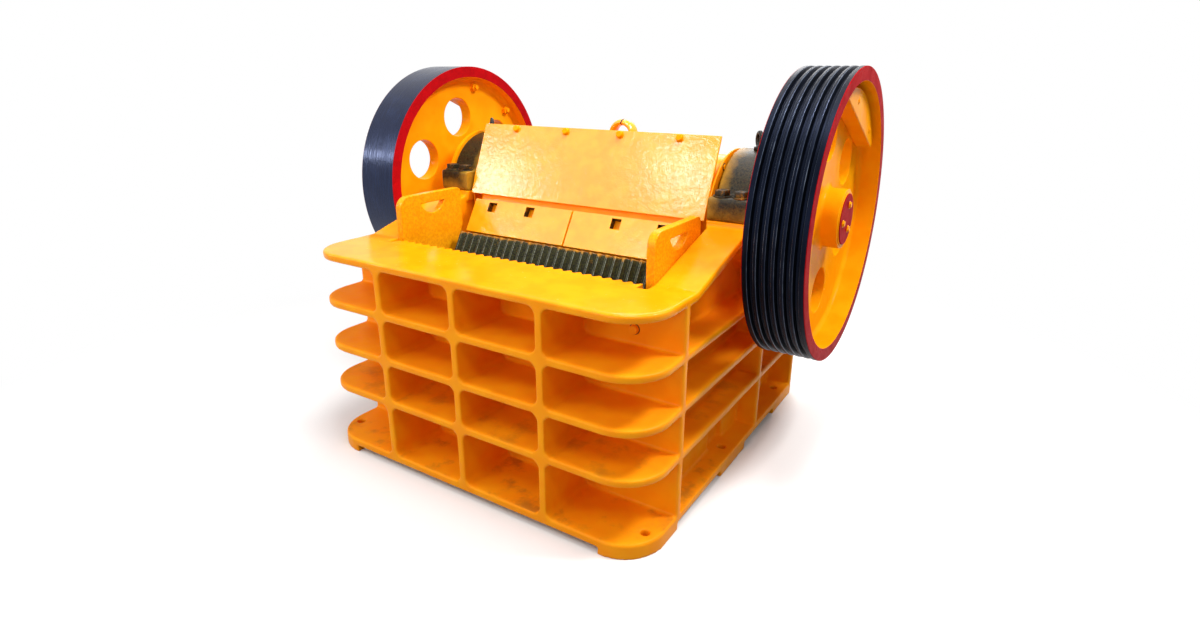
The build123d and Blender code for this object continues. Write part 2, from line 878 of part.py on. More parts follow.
pieces = {
    "base_flange_front": base_front(),
    "base_flange_right": base_side(),
    "base_flange_left": mirrored(base_side()),
    "foot_pads": foot_pads(),
    "front_wall": front_wall(),
    "rear_wall": rear_wall(),
    "side_wall_right": side_wall(),
    "side_wall_left": mirrored(side_wall()),
    "front_shelves": front_shelves(),
    "top_flange_front": front_flange(top_height, wall_rear),
    "top_flange_right": top_side(),
    "top_flange_left": mirrored(top_side()),
    "top_flange_rear": top_rear(),
    "front_ribs": front_ribs(),
    "side_shelves_right": side_shelves(),
    "side_shelves_left": mirrored(side_shelves()),
    "side_ribs_right": side_ribs(),
    "side_ribs_left": mirrored(side_ribs()),
    "bearing_seat_right": bearing_seat(),
    "bearing_seat_left": mirrored(bearing_seat()),
    "bearing_cap_right": bearing_cap(),
    "bearing_cap_left": mirrored(bearing_cap()),
    "bearing_covers": both_sides(bearing_cover()),
    "fixed_jaw_plate": fixed_jaw(),
    "cheek_plate_right": cheek_plate(),
    "cheek_plate_left": mirrored(cheek_plate()),
    "toggle_beam": toggle_beam(),
    "toggle_block": toggle_block(),
    "tension_rods": tension_rods(),
    "tension_springs": tension_springs(),
    "eccentric_shaft": eccentric_shaft(),
    "flywheel_rim": mirrored(wheel_rim(flywheel_width)),
    "flywheel_web": mirrored(wheel_web()),
    "pulley_rim": pulley_rim(),
    "pulley_web": wheel_web(),
    "counterweights": both_sides(counterweight()),
    "end_discs": both_sides(end_disc()),
    "swing_jaw": swing_jaw(),
    "moving_jaw_plate": moving_jaw(),
    "clamp_bar_right": clamp_bar(),
    "clamp_bar_left": mirrored(clamp_bar()),
    "guard_plate": guard_plate(),
    "guard_brackets": guard_brackets(),
    "lifting_eye": lifting_eye(),
    "toggle_plate": toggle_plate(),
}

os.makedirs("parts", exist_ok=True)
for name, shape in pieces.items():
    export_step(Pos(0, -anchor_mid, 0) * shape, f"parts/{name}.step")
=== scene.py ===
"""The looks of a fine jaw crusher with a 250 by 1000 mm feed mouth.

Sizes are in millimetres, with X along the shaft, Y counted from the front edge
of the frame and Z up from the floor. spot() turns them into the frame's metres.
"""
import logging
from collections.abc import Callable, Sequence
from dataclasses import dataclass
from enum import Enum, IntEnum
from math import atan2, cos, pi, radians, sin

import bmesh
import bpy
from bmesh.types import BMesh
from bpy.types import Material, Node, NodeSocket, NodeTree
from mathutils import Matrix, Vector


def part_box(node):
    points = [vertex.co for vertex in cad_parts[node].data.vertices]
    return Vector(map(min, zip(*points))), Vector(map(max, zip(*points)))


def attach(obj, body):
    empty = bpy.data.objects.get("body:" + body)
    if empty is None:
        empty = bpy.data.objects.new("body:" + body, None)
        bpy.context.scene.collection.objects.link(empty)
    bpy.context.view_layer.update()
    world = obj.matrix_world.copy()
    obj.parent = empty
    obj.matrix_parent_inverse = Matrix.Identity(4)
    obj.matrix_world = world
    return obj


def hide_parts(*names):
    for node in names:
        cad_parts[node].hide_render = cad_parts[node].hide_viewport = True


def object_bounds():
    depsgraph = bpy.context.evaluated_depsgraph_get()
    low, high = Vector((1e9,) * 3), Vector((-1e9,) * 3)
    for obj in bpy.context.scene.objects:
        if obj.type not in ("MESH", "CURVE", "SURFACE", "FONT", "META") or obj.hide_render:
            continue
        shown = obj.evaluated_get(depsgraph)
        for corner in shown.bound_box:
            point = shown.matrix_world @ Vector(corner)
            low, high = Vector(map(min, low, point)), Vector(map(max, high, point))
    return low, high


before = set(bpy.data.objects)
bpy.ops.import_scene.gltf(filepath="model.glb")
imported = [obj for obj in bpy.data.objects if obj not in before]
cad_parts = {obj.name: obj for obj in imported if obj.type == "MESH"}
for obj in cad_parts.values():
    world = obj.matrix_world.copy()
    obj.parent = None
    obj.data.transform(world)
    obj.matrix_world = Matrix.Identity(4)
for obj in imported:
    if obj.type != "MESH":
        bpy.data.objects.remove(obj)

log = logging.getLogger("crusher")

MM = 0.001
WELD = 0.00001
SHARP = radians(30)
FRONT_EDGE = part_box("base_flange_front")[0].y
CAD_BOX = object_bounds()
AXIS_Y = 925.5
AXIS_Z = 866.4
# Millimetres that a fastener is let into what it sits on, so that no gap shows.
SEAT = 1.0
UP = Vector((0, 0, 1))
REAR = Vector((0, 1, 0))
FRONT = Vector((0, -1, 0))
WHITE = (1.0, 1.0, 1.0, 1.0)

Pair = tuple[float, float]
Triple = tuple[float, float, float]

# The limits of a Map Range node, and what it gives at them.
START, END, LEAST, MOST = "From Min", "From Max", "To Min", "To Max"
# The share of the second colour in a Mix node, and its two colours.
SHARE, UNDER, OVER = 0, 6, 7


class Side(Enum):
    """The right side of the machine carries the pulley, the left the flywheel."""

    RIGHT = 1
    LEFT = -1

    @property
    def word(self) -> str:
        """The side as the names of nodes and pieces give it."""
        return self.name.lower()

    @property
    def out(self) -> Vector:
        """The way out of the machine along the shaft."""
        return Vector((self.value, 0, 0))


def spot(x: float, y: float, z: float) -> Vector:
    """A place in the frame's metres.

    Args:
        x: Millimetres along the shaft.
        y: Millimetres behind the front edge.
        z: Millimetres above the floor.

    Returns:
        The same place in metres.
    """
    return Vector((x * MM, y * MM + FRONT_EDGE, z * MM))


def round_shaft(radius: float, angle: float, x: float) -> Vector:
    """A place on a circle about the shaft.

    Args:
        radius: The circle's radius in millimetres.
        angle: Degrees from the rear upwards.
        x: Millimetres along the shaft.

    Returns:
        The place in metres.
    """
    return spot(x, AXIS_Y + radius * cos(radians(angle)), AXIS_Z + radius * sin(radians(angle)))


def from_shaft(place: Vector) -> float:
    """Millimetres from the shaft line."""
    centre = spot(0, AXIS_Y, AXIS_Z)
    return ((place.y - centre.y) ** 2 + (place.z - centre.z) ** 2) ** 0.5 / MM


def along_axis(axis: Vector, place: Vector) -> Matrix:
    """A matrix that turns Z to an axis and moves the origin to a place."""
    return Matrix.Translation(place) @ axis.to_track_quat("Z", "Y").to_matrix().to_4x4()


def linear(hex_colour: str) -> tuple[float, float, float, float]:
    """Turns an sRGB colour into the linear one that a shader takes.

    Args:
        hex_colour: Six hex digits after a hash sign.

    Returns:
        Red, green, blue and an alpha of 1.
    """
    channels = []
    for start in (1, 3, 5):
        value = int(hex_colour[start : start + 2], 16) / 255
        channels.append(value / 12.92 if value <= 0.04045 else ((value + 0.055) / 1.055) ** 2.4)
    return (*channels, 1.0)


def feed(tree: NodeTree, socket: NodeSocket, value: object) -> None:
    """Sets or links one input.

    Args:
        tree: The node tree that holds it.
        socket: The input.
        value: A number, a vector or a hex colour to set, or what to link: an output,
            or a node, which then gives the first of its outputs that is in use.
    """
    if isinstance(value, Node):
        value = next(output for output in value.outputs if output.enabled)
    if isinstance(value, NodeSocket):
        tree.links.new(value, socket)
    else:
        socket.default_value = linear(value) if isinstance(value, str) else value


def add_node(tree: NodeTree, kind: str, inputs: dict | None = None, **settings: object) -> Node:
    """Adds a node with its settings and links.

    Args:
        tree: The node tree that takes it.
        kind: The node's type, without the ShaderNode that each type starts with.
        inputs: What feeds the node's inputs, by name or number.
        settings: The node's own properties.

    Returns:
        The new node.
    """
    node = tree.nodes.new("ShaderNode" + kind)
    for name, value in settings.items():
        setattr(node, name, value)
    for key, value in (inputs or {}).items():
        feed(tree, node.inputs[key], value)
    return node


def seen_white(tree: NodeTree) -> Node:
    """Tells what the camera sees, straight, mirrored or through glass.

    Args:
        tree: The node tree of the floor or the world.

    Returns:
        A node that gives 1 there, and otherwise 0.
    """
    path = add_node(tree, "LightPath")
    camera, glossy, glass = (path.outputs[f"Is {ray} Ray"] for ray in ("Camera", "Glossy", "Transmission"))
    straight = add_node(tree, "Math", {0: camera, 1: glossy}, operation="MAXIMUM")
    return add_node(tree, "Math", {0: straight, 1: glass}, operation="MAXIMUM")


class Finish:
    """The node tree of one finish.

    A noise runs from about 0.3 to 0.7, and the limits in a finish pick the share of
    it that shows.
    """

    def __init__(self, name: str) -> None:
        """Starts a material with a Principled shader and object coordinates.

        Args:
            name: What the material is called.
        """
        self.material = bpy.data.materials.new(name)
        self.material.use_nodes = True
        self.tree = self.material.node_tree
        self.shader = self.tree.nodes["Principled BSDF"]
        self.coordinates = self.add("TexCoord")
        self.place = self.coordinates.outputs["Object"]

    def add(self, kind: str, inputs: dict | None = None, **settings: object) -> Node:
        """Adds a node to this finish."""
        return add_node(self.tree, kind, inputs, **settings)

    def shade(self, inputs: dict) -> Material:
        """Feeds the shader.

        Args:
            inputs: What feeds the shader's inputs, by name.

        Returns:
            The finished material.
        """
        for name, value in inputs.items():
            feed(self.tree, self.shader.inputs[name], value)
        return self.material


def per_metre(millimetres: float) -> float:
    """The texture scale at which a pattern repeats every so many millimetres."""
    return 1000 / millimetres


@dataclass(frozen=True)
class GlossEnamel:
    """Gloss alkyd enamel, brushed and sprayed on a rough sand casting.

    The eye sees a deep orange yellow, cloudy where the coat is thick or thin,
    with a fine orange peel, the casting's sand texture below it, level ledges
    dulled by dust, and a duller film on all that lies under the flanges. The peel
    is really about 1 mm wide, and is drawn coarser so that it shows. How far a
    face looks up, from leaning to level, makes it a ledge.
    """

    name: str = "gloss_enamel"
    thick: str = "#FD9606"
    thin: str = "#FFA10A"
    runs: str = "#F58E04"
    dust: str = "#6E4A22"
    cloud_mm: float = 95.0
    sand_mm: float = 9.0
    peel_mm: float = 2.6
    sand_height_mm: float = 0.13
    peel_height_mm: float = 0.04
    roughness: float = 0.17
    gloss: float = 0.12
    dusty: float = 0.5
    dust_below_mm: float = 420.0
    film: float = 0.45
    film_below_mm: float = 735.0
    film_edge_mm: float = 25.0
    leaning: float = 0.8
    level: float = 0.98

    def build(self) -> Material:
        """Makes the material.

        Returns:
            The enamel.
        """
        finish = Finish(self.name)
        clouds, streaks, smudges, sand, peel = (
            finish.add(
                "TexNoise",
                {"Vector": finish.place, "Scale": per_metre(mm), "Detail": detail, "Roughness": rough},
            )
            for mm, detail, rough in (
                (self.cloud_mm, 4.0, 0.6),
                (self.cloud_mm / 4, 6.0, 0.7),
                (self.cloud_mm * 1.3, 5.0, 0.6),
                (self.sand_mm, 3.0, 0.55),
                (self.peel_mm, 1.0, 0.5),
            )
        )
        cover, settled = (
            finish.add("MapRange", {"Value": noise, START: low, END: high}, interpolation_type="SMOOTHSTEP")
            for noise, low, high in ((clouds, 0.38, 0.64), (smudges, 0.49, 0.7))
        )
        body = finish.add("Mix", {SHARE: cover, UNDER: self.thick, OVER: self.thin}, data_type="RGBA")
        thick_spots = finish.add("MapRange", {"Value": streaks, START: 0.5, END: 0.8, MOST: 0.3})
        coat = finish.add("Mix", {SHARE: thick_spots, UNDER: body, OVER: self.runs}, data_type="RGBA")
        facing = finish.add("SeparateXYZ", {0: finish.coordinates.outputs["Normal"]}).outputs["Z"]
        height = finish.add("SeparateXYZ", {0: finish.place}).outputs["Z"]
        upward = finish.add("MapRange", {"Value": facing, START: self.leaning, END: self.level})
        bottom = self.dust_below_mm * MM
        low = finish.add("MapRange", {"Value": height, START: bottom, END: bottom / 3})
        amount = upward
        for share in (low, settled, self.dusty):
            amount = finish.add("Math", {0: amount, 1: share}, operation="MULTIPLY")
        colour = finish.add("Mix", {SHARE: amount, UNDER: coat, OVER: self.dust}, data_type="RGBA")
        least, most = self.roughness - 0.07, self.roughness + 0.12
        dull = finish.add("MapRange", {"Value": streaks, START: 0.35, END: 0.7, LEAST: least, MOST: most})
        held = finish.add("MapRange", {"Value": facing, START: self.leaning, END: self.level, LEAST: 0.5})
        top, under = self.film_below_mm * MM, (self.film_below_mm - self.film_edge_mm) * MM
        sheltered = finish.add("MapRange", {"Value": height, START: top, END: under, MOST: self.film})
        film = finish.add("Math", {0: held, 1: sheltered}, operation="MULTIPLY")
        dulled = finish.add("Math", {0: film, 1: dull}, operation="ADD")
        cast = finish.add("Bump", {"Height": sand, "Distance": self.sand_height_mm * MM, "Strength": 1.0})
        skin = finish.add(
            "Bump", {"Height": peel, "Distance": self.peel_height_mm * MM, "Strength": 1.0, "Normal": cast}
        )
        return finish.shade(
            {"Base Color": colour, "Roughness": dulled, "Normal": skin, "IOR": 1.5,
             "Specular IOR Level": self.gloss}
        )


@dataclass(frozen=True)
class WheelPaint:
    """Semi-gloss enamel brushed round a machined rim.

    The eye sees a blue black with fine streaks that run round the wheel, worn
    paler here and there where belts or slings have rubbed. The streaks of real
    bristles are under 1 mm wide and are drawn coarser, so that they show.
    """

    name: str = "wheel_black"
    paint: str = "#060B20"
    rubbed: str = "#182440"
    sheen: str = "#9AB4FF"
    streak_mm: float = 2.2
    run_mm: float = 160.0
    rub_mm: float = 70.0
    roughness: float = 0.22
    streak_height_mm: float = 0.11
    gloss: float = 0.5

    def build(self) -> Material:
        """Makes the material.

        Returns:
            The wheel paint.
        """
        finish = Finish(self.name)
        across, along = per_metre(self.streak_mm), per_metre(self.run_mm)
        drawn_out = finish.add("Mapping", {"Vector": finish.place, "Scale": (across, along, along)})
        streaks = finish.add("TexNoise", {"Vector": drawn_out, "Scale": 1.0, "Detail": 3.0})
        rubs = finish.add(
            "TexNoise",
            {"Vector": finish.place, "Scale": per_metre(self.rub_mm), "Detail": 5.0, "Roughness": 0.7},
        )
        both = finish.add("Math", {0: streaks, 1: rubs}, operation="MULTIPLY")
        worn = finish.add("MapRange", {"Value": both, START: 0.24, END: 0.42, MOST: 0.8})
        colour = finish.add("Mix", {SHARE: worn, UNDER: self.paint, OVER: self.rubbed}, data_type="RGBA")
        least, most = self.roughness - 0.08, self.roughness + 0.14
        dull = finish.add("MapRange", {"Value": streaks, START: 0.3, END: 0.7, LEAST: least, MOST: most})
        bump = finish.add("Bump", {"Height": streaks, "Distance": self.streak_height_mm * MM})
        return finish.shade(
            {"Base Color": colour, "Roughness": dull, "Normal": bump, "Specular IOR Level": self.gloss,
             "Specular Tint": self.sheen}
        )


@dataclass(frozen=True)
class SignalEnamel:
    """Red gloss enamel cut in by brush on a turned face.

    The eye sees a strong red with faint brush lines, drawn coarser than a bristle
    so that they show, and a soft cloudiness.
    """

    name: str = "signal_red"
    paint: str = "#AE1016"
    shade: str = "#980E14"
    cloud_mm: float = 45.0
    brush_mm: float = 3.5
    roughness: float = 0.3
    brush_height_mm: float = 0.12
    gloss: float = 0.004

    def build(self) -> Material:
        """Makes the material.

        Returns:
            The red enamel.
        """
        finish = Finish(self.name)
        clouds = finish.add(
            "TexNoise",
            {"Vector": finish.place, "Scale": per_metre(self.cloud_mm), "Detail": 5.0, "Roughness": 0.65},
        )
        cover = finish.add("MapRange", {"Value": clouds, START: 0.4, END: 0.7})
        colour = finish.add("Mix", {SHARE: cover, UNDER: self.paint, OVER: self.shade}, data_type="RGBA")
        least, most = self.roughness - 0.06, self.roughness + 0.1
        dull = finish.add("MapRange", {"Value": clouds, START: 0.3, END: 0.7, LEAST: least, MOST: most})
        scale = per_metre(self.brush_mm)
        brush = finish.add("TexNoise", {"Vector": finish.place, "Scale": scale, "Detail": 2.0})
        bump = finish.add("Bump", {"Height": brush, "Distance": self.brush_height_mm * MM})
        return finish.shade(
            {"Base Color": colour, "Roughness": dull, "Normal": bump, "Specular IOR Level": self.gloss}
        )


@dataclass(frozen=True)
class OversprayedIron:
    """Cast or forged iron, dark and rough, with enamel overspray on it.

    The eye sees a pitted brown black surface that catches small glints, and a
    dusting of yellow where the spray gun passed by. The dusting thickens from
    the first to the second value of sprayed_x, a distance from the machine's
    middle, and of sprayed_z, a height. Their defaults add none. The grain is that
    of moulding sand, drawn coarser than its 0.5 mm so that it shows.
    """

    name: str
    dark: str
    pale: str
    spray: str = "#D9920F"
    spray_share: float = 0.3
    grain_mm: float = 6.0
    patch_mm: float = 38.0
    grain_height_mm: float = 0.7
    roughness: float = 0.45
    metallic: float = 0.0
    gloss: float = 0.3
    soft_spray: float = 0.42
    sprayed_x: Pair = (0.0, -1.0)
    sprayed_z: Pair = (0.0, -1.0)

    def build(self) -> Material:
        """Makes the material.

        Returns:
            The iron or steel.
        """
        finish = Finish(self.name)
        place = finish.add("SeparateXYZ", {0: finish.place})
        reach = finish.add("Math", {0: place.outputs["X"]}, operation="ABSOLUTE")
        clean, sprayed = (x * MM for x in self.sprayed_x)
        inwards = finish.add("MapRange", {"Value": reach, START: clean, END: sprayed})
        clean, sprayed = (z * MM for z in self.sprayed_z)
        along_z = finish.add("MapRange", {"Value": place.outputs["Z"], START: clean, END: sprayed})
        near_gun = finish.add("Math", {0: inwards, 1: along_z}, operation="MAXIMUM")
        grain, patches = (
            finish.add(
                "TexNoise",
                {"Vector": finish.place, "Scale": per_metre(mm), "Detail": detail, "Roughness": rough},
            )
            for mm, detail, rough in ((self.grain_mm, 5.0, 0.65), (self.patch_mm, 7.0, 0.75))
        )
        tone = finish.add("MapRange", {"Value": grain, START: 0.4, END: 0.7})
        iron = finish.add("Mix", {SHARE: tone, UNDER: self.dark, OVER: self.pale}, data_type="RGBA")
        drift = finish.add("Math", {0: near_gun, 1: self.soft_spray, 2: patches}, operation="MULTIPLY_ADD")
        bare, covered = 0.62 - self.spray_share / 3, 0.44 + self.soft_spray - self.spray_share / 3
        dusting = finish.add("MapRange", {"Value": drift, START: bare, END: covered, MOST: 0.85})
        colour = finish.add("Mix", {SHARE: dusting, UNDER: iron, OVER: self.spray}, data_type="RGBA")
        least, most = self.roughness - 0.12, self.roughness + 0.15
        dull = finish.add("MapRange", {"Value": grain, START: 0.3, END: 0.7, LEAST: least, MOST: most})
        bump = finish.add("Bump", {"Height": grain, "Distance": self.grain_height_mm * MM})
        return finish.shade(
            {"Base Color": colour, "Roughness": dull, "Normal": bump, "Metallic": self.metallic,
             "Specular IOR Level": self.gloss}
        )


class Palette:
    """All finishes of the machine, made once."""

    def __init__(self) -> None:
        """Builds each finish."""
        self.enamel = GlossEnamel().build()
        # Enamel flowed over rough plate: soft waves that break up the highlights.
        self.plate_enamel = GlossEnamel(
            name="plate_enamel", thick="#FF9F0A", thin="#FFAA12", runs="#FA9408", cloud_mm=60.0, sand_mm=24.0,
            sand_height_mm=1.2, peel_height_mm=0.2, peel_mm=5.0, gloss=0.6, dusty=0.0,
        ).build()
        # Enamel on coarsely ground plate: a fine grain of light and dark.
        self.grained_enamel = GlossEnamel(
            name="grained_enamel", thick="#F09306", thin="#FFAE10", cloud_mm=8.0, sand_mm=5.0,
            sand_height_mm=1.1, dusty=0.0,
        ).build()
        # Enamel on turned or dressed iron: even, with a satin skin.
        self.smooth_enamel = GlossEnamel(
            name="smooth_enamel", thick="#FD9C06", thin="#FFA80C", sand_mm=14.0, sand_height_mm=0.3,
            gloss=0.02, dusty=0.0, film_below_mm=0.0,
        ).build()
        self.wheel_black = WheelPaint().build()
        # The same in the belt grooves: flatter and nearly black.
        self.groove_black = WheelPaint(
            name="groove_black", paint="#05070C", rubbed="#10141E", roughness=0.36, gloss=0.12
        ).build()
        # The same on the rounded edges of the ridges between them: paler grey, partly worn paint and partly a
        # painted highlight.
        self.ridge_grey_and_highlight = WheelPaint(
            name="ridge_grey_and_highlight", paint="#2C333E", rubbed="#7C8694", roughness=0.3, gloss=0.4
        ).build()
        self.red = SignalEnamel().build()
        # Black primed bearing caps, yellow from the spray gun at their feet and inside.
        self.housing = OversprayedIron(
            "housing_iron", "#16120A", "#43391D", spray="#B98A20", spray_share=0.0, sprayed_x=(575.0, 505.0),
            sprayed_z=(925.0, 830.0), patch_mm=90.0, roughness=0.36, gloss=0.22, soft_spray=0.72,
        ).build()
        # Cast manganese steel: dark, brown and dull, with paint along its top only.
        self.manganese = OversprayedIron(
            "manganese_steel", "#100F05", "#47451A", spray_share=0.0, roughness=0.42, gloss=0.2,
            sprayed_z=(719.0, 737.0),
        ).build()
        # Its crests, rubbed by stone: paler, with a hint of metal, partly wear and partly a painted
        # highlight.
        self.worn_highlit_manganese = OversprayedIron(
            "worn_and_highlit_manganese_steel", "#3E4034", "#8E9484", spray_share=0.0, metallic=0.2, roughness=0.4,
            sprayed_z=(716.0, 737.0),
        ).build()
        # Black oxide steel: dark grey metal with a dull shine.
        self.steel = OversprayedIron(
            "black_oxide_steel", "#1A1A18", "#3C3A36", spray_share=0.05, metallic=0.7, grain_mm=3.0,
            grain_height_mm=0.2, roughness=0.38,
        ).build()
        # Zinc plate: bright grey metal.
        self.worn_steel = OversprayedIron(
            "zinc_plated_steel", "#8A8C8A", "#B9B8AE", spray_share=0.05, metallic=0.9, grain_mm=2.0,
            grain_height_mm=0.1, roughness=0.3,
        ).build()
        # Black bolts under flecks of yellow overspray; the same dark finish also serves as painted shade in
        # the clamp bars' holes and round the core plugs.
        self.bolt = OversprayedIron("sprayed_bolt_and_painted_shade", "#15120C", "#3A3018", grain_mm=4.0).build()


def joined_copy(nodes: Sequence[str], swell: float = 0.0) -> BMesh:
    """Merges the loose triangles of CAD nodes into one mesh.

    Args:
        nodes: The nodes to copy.
        swell: Millimetres that each face moves outwards, so that neighbours overlap.

    Returns:
        A mesh with the copies of all nodes.
    """
    whole = bmesh.new()
    for node in nodes:
        single = bmesh.new()
        single.from_mesh(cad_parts[node].data)
        bmesh.ops.remove_doubles(single, verts=single.verts, dist=WELD)
        single.normal_update()
        for vert in single.verts:
            vert.co += vert.normal * swell * MM
        carrier = bpy.data.meshes.new("carrier")
        single.to_mesh(carrier)
        single.free()
        whole.from_mesh(carrier)
        bpy.data.meshes.remove(carrier)
    for face in whole.faces:
        face.material_index = 0
    return whole


def flat_copy(node: str) -> BMesh:
    """Copies a CAD node, with its flat faces whole again.

    Args:
        node: The node to copy.

    Returns:
        The merged copy.
    """
    mesh = joined_copy([node])
    bmesh.ops.dissolve_limit(mesh, angle_limit=radians(0.6), verts=mesh.verts, edges=mesh.edges)
    return mesh


def paint(mesh: BMesh, material: int, test: Callable[[Vector, Vector], bool]) -> None:
    """Gives a finish to some of a mesh's faces.

    Args:
        mesh: The mesh.
        material: The material number that they get.
        test: Tells from a face's centre and normal whether it gets it.
    """
    mesh.normal_update()
    for face in mesh.faces:
        if test(face.calc_center_median(), face.normal):
            face.material_index = material


def piece(
    mesh: BMesh,
    name: str,
    body: str,
    materials: Sequence[Material],
    nodes: Sequence[str] = (),
    rounding: float = 0.0,
) -> None:
    """Turns a mesh into a piece of the machine, whose large flat faces shade flat.

    Args:
        mesh: The finished mesh, which is freed.
        name: The piece's name.
        body: The CAD body it rides on.
        materials: Its finishes, in the order of its faces' material numbers.
        nodes: CAD nodes that it stands for.
        rounding: Millimetres by which its sharp edges are rounded.
    """
    data = bpy.data.meshes.new(name)
    mesh.to_mesh(data)
    mesh.free()
    data.shade_smooth()
    for material in materials:
        data.materials.append(material)
    made = bpy.data.objects.new(name, data)
    bpy.context.scene.collection.objects.link(made)
    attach(made, body)
    if nodes:
        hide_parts(*nodes)
    if rounding:
        soft = made.modifiers.new("soft_edges", "BEVEL")
        soft.width = rounding * MM
        soft.segments = 3
        soft.limit_method = "ANGLE"
        soft.angle_limit = radians(40)
        soft.use_clamp_overlap = False
    flat = made.modifiers.new("flat_faces", "WEIGHTED_NORMAL")
    flat.keep_sharp = False
    flat.weight = 60
    log.info("%s: %d faces on %s", name, len(data.polygons), body)


@dataclass
class SandCasting:
    """CAD nodes cast as one, with soft edges and a fillet in each corner.

    Its nodes swell a little, so that neighbours meet. The voxel size and the passes
    of smoothing set how soft it gets, keep is the share of its faces that stays, and
    uneven the height of the ripples that the sand leaves every uneven_mm.
    """

    name: str
    nodes: tuple[str, ...]
    voxel: float = 5.0
    passes: int = 5
    keep: float = 0.14
    swell: float = 0.4
    uneven: float = 0.9
    uneven_mm: float = 70.0

    def skin(self) -> BMesh:
        """Wraps the nodes in one skin.

        Returns:
            The casting's mesh, kept inside the CAD model's box.
        """
        rough = bpy.data.meshes.new(self.name)
        joined = joined_copy(self.nodes, self.swell)
        joined.to_mesh(rough)
        joined.free()
        pattern = bpy.data.objects.new(self.name + "_pattern", rough)
        bpy.context.scene.collection.objects.link(pattern)
        wrap = pattern.modifiers.new("wrap", "REMESH")
        wrap.mode = "VOXEL"
        wrap.voxel_size = self.voxel * MM
        relax = pattern.modifiers.new("relax", "SMOOTH")
        relax.iterations = self.passes
        relax.factor = 0.5
        sand = bpy.data.textures.new(self.name, "CLOUDS")
        sand.noise_scale = self.uneven_mm * MM
        ripple = pattern.modifiers.new("ripple", "DISPLACE")
        ripple.texture = sand
        ripple.texture_coords = "LOCAL"
        ripple.strength = self.uneven * MM
        ripple.mid_level = 0.5
        thin = pattern.modifiers.new("thin", "DECIMATE")
        thin.ratio = self.keep
        graph = bpy.context.evaluated_depsgraph_get()
        cast = bpy.data.meshes.new_from_object(pattern.evaluated_get(graph))
        mesh = bmesh.new()
        mesh.from_mesh(cast)
        low, high = CAD_BOX
        for vert in mesh.verts:
            vert.co = [min(max(value, least), most) for value, least, most in zip(vert.co, low, high)]
        bpy.data.objects.remove(pattern)
        bpy.data.meshes.remove(cast)
        return mesh

    def build(self, body: str, material: Material, slot: str = "yellow_enamel") -> None:
        """Makes the piece.

        Args:
            body: The CAD body it rides on.
            material: Its finish.
            slot: Not used.
        """
        piece(self.skin(), self.name, body, [material], self.nodes)


@dataclass(frozen=True)
class Disc:
    """A washer, head, nut or plate with rounded edges, in millimetres.

    The radius reaches to its corners, edge is the rounding of its edges, and
    taper gives the top's radius as a share of the foot's.
    """

    radius: float
    height: float
    edge: float
    sides: int = 28
    taper: float = 1.0

    def add(
        self, mesh: BMesh, foot: Vector, axis: Vector, turn: float = 0.0, material: int = 0
    ) -> None:
        """Adds it to a mesh, standing on a surface.

        Args:
            mesh: The mesh that takes it.
            foot: The middle of its foot, in metres.
            axis: The way it stands.
            turn: Degrees about the axis.
            material: The material number of its faces.
        """
        place = along_axis(axis, foot) @ Matrix.Translation((0, 0, self.height * MM / 2))
        place = place @ Matrix.Rotation(radians(turn), 4, "Z")
        made = bmesh.ops.create_cone(
            mesh, cap_ends=True, segments=self.sides, radius1=self.radius * MM,
            radius2=self.radius * self.taper * MM, depth=self.height * MM, matrix=place,
        )
        for vert in made["verts"]:
            for face in vert.link_faces:
                face.material_index = material
        edges = dict.fromkeys(edge for vert in made["verts"] for edge in vert.link_edges)
        sharp = [edge for edge in edges if edge.calc_face_angle(0) > SHARP]
        bmesh.ops.bevel(
            mesh, geom=sharp, offset=self.edge * MM, segments=2, profile=0.5, affect="EDGES", material=-1,
            clamp_overlap=True,
        )


def add_hex_bolt(
    mesh: BMesh, foot: Vector, axis: Vector, size: float, stud: float = 0.0, turn: float = 0.0
) -> None:
    """Adds a washer and a hexagon head, or a nut on a stud.

    Args:
        mesh: The mesh that takes it.
        foot: The middle of its foot, in metres.
        axis: The way it stands.
        size: The thread's diameter in millimetres.
        stud: Millimetres that a stud stands out of the nut, or 0 for a bolt head.
        turn: Degrees about the axis.
    """
    sunk = 0.5
    washer = 0.16 * size
    head = 0.7 * size
    Disc(1.02 * size, washer + sunk, 0.06 * size).add(mesh, foot - axis * sunk * MM, axis)
    Disc(0.92 * size, head, 0.1 * size, sides=6).add(mesh, foot + axis * washer * MM, axis, turn)
    if stud:
        Disc(0.5 * size, stud, 0.09 * size, sides=20).add(mesh, foot + axis * (washer + head) * MM, axis)


def add_ring(
    mesh: BMesh, centre: Vector, axis: Vector, radius: float, wire: float, depth: float = 1.0
) -> None:
    """Adds a round or oval wire bent to a ring.

    Args:
        mesh: The mesh that takes it.
        centre: The ring's middle, in metres.
        axis: The axis that the wire goes round.
        radius: Millimetres from the middle to the wire's centre.
        wire: The wire's radius in millimetres.
        depth: The wire's radius along the axis as a share of that.
    """
    side = along_axis(axis, centre) @ Matrix.Translation((radius * MM, 0, 0))
    side = side @ Matrix.Rotation(pi / 2, 4, "X") @ Matrix.Diagonal((1, depth, 1, 1))
    loop = bmesh.ops.create_circle(mesh, cap_ends=False, segments=16, radius=wire * MM, matrix=side)
    edges = dict.fromkeys(edge for vert in loop["verts"] for edge in vert.link_edges)
    bmesh.ops.spin(
        mesh, geom=loop["verts"] + list(edges), cent=centre, axis=axis, angle=2 * pi, steps=48, use_merge=True
    )
    bmesh.ops.recalc_face_normals(mesh, faces=mesh.faces)


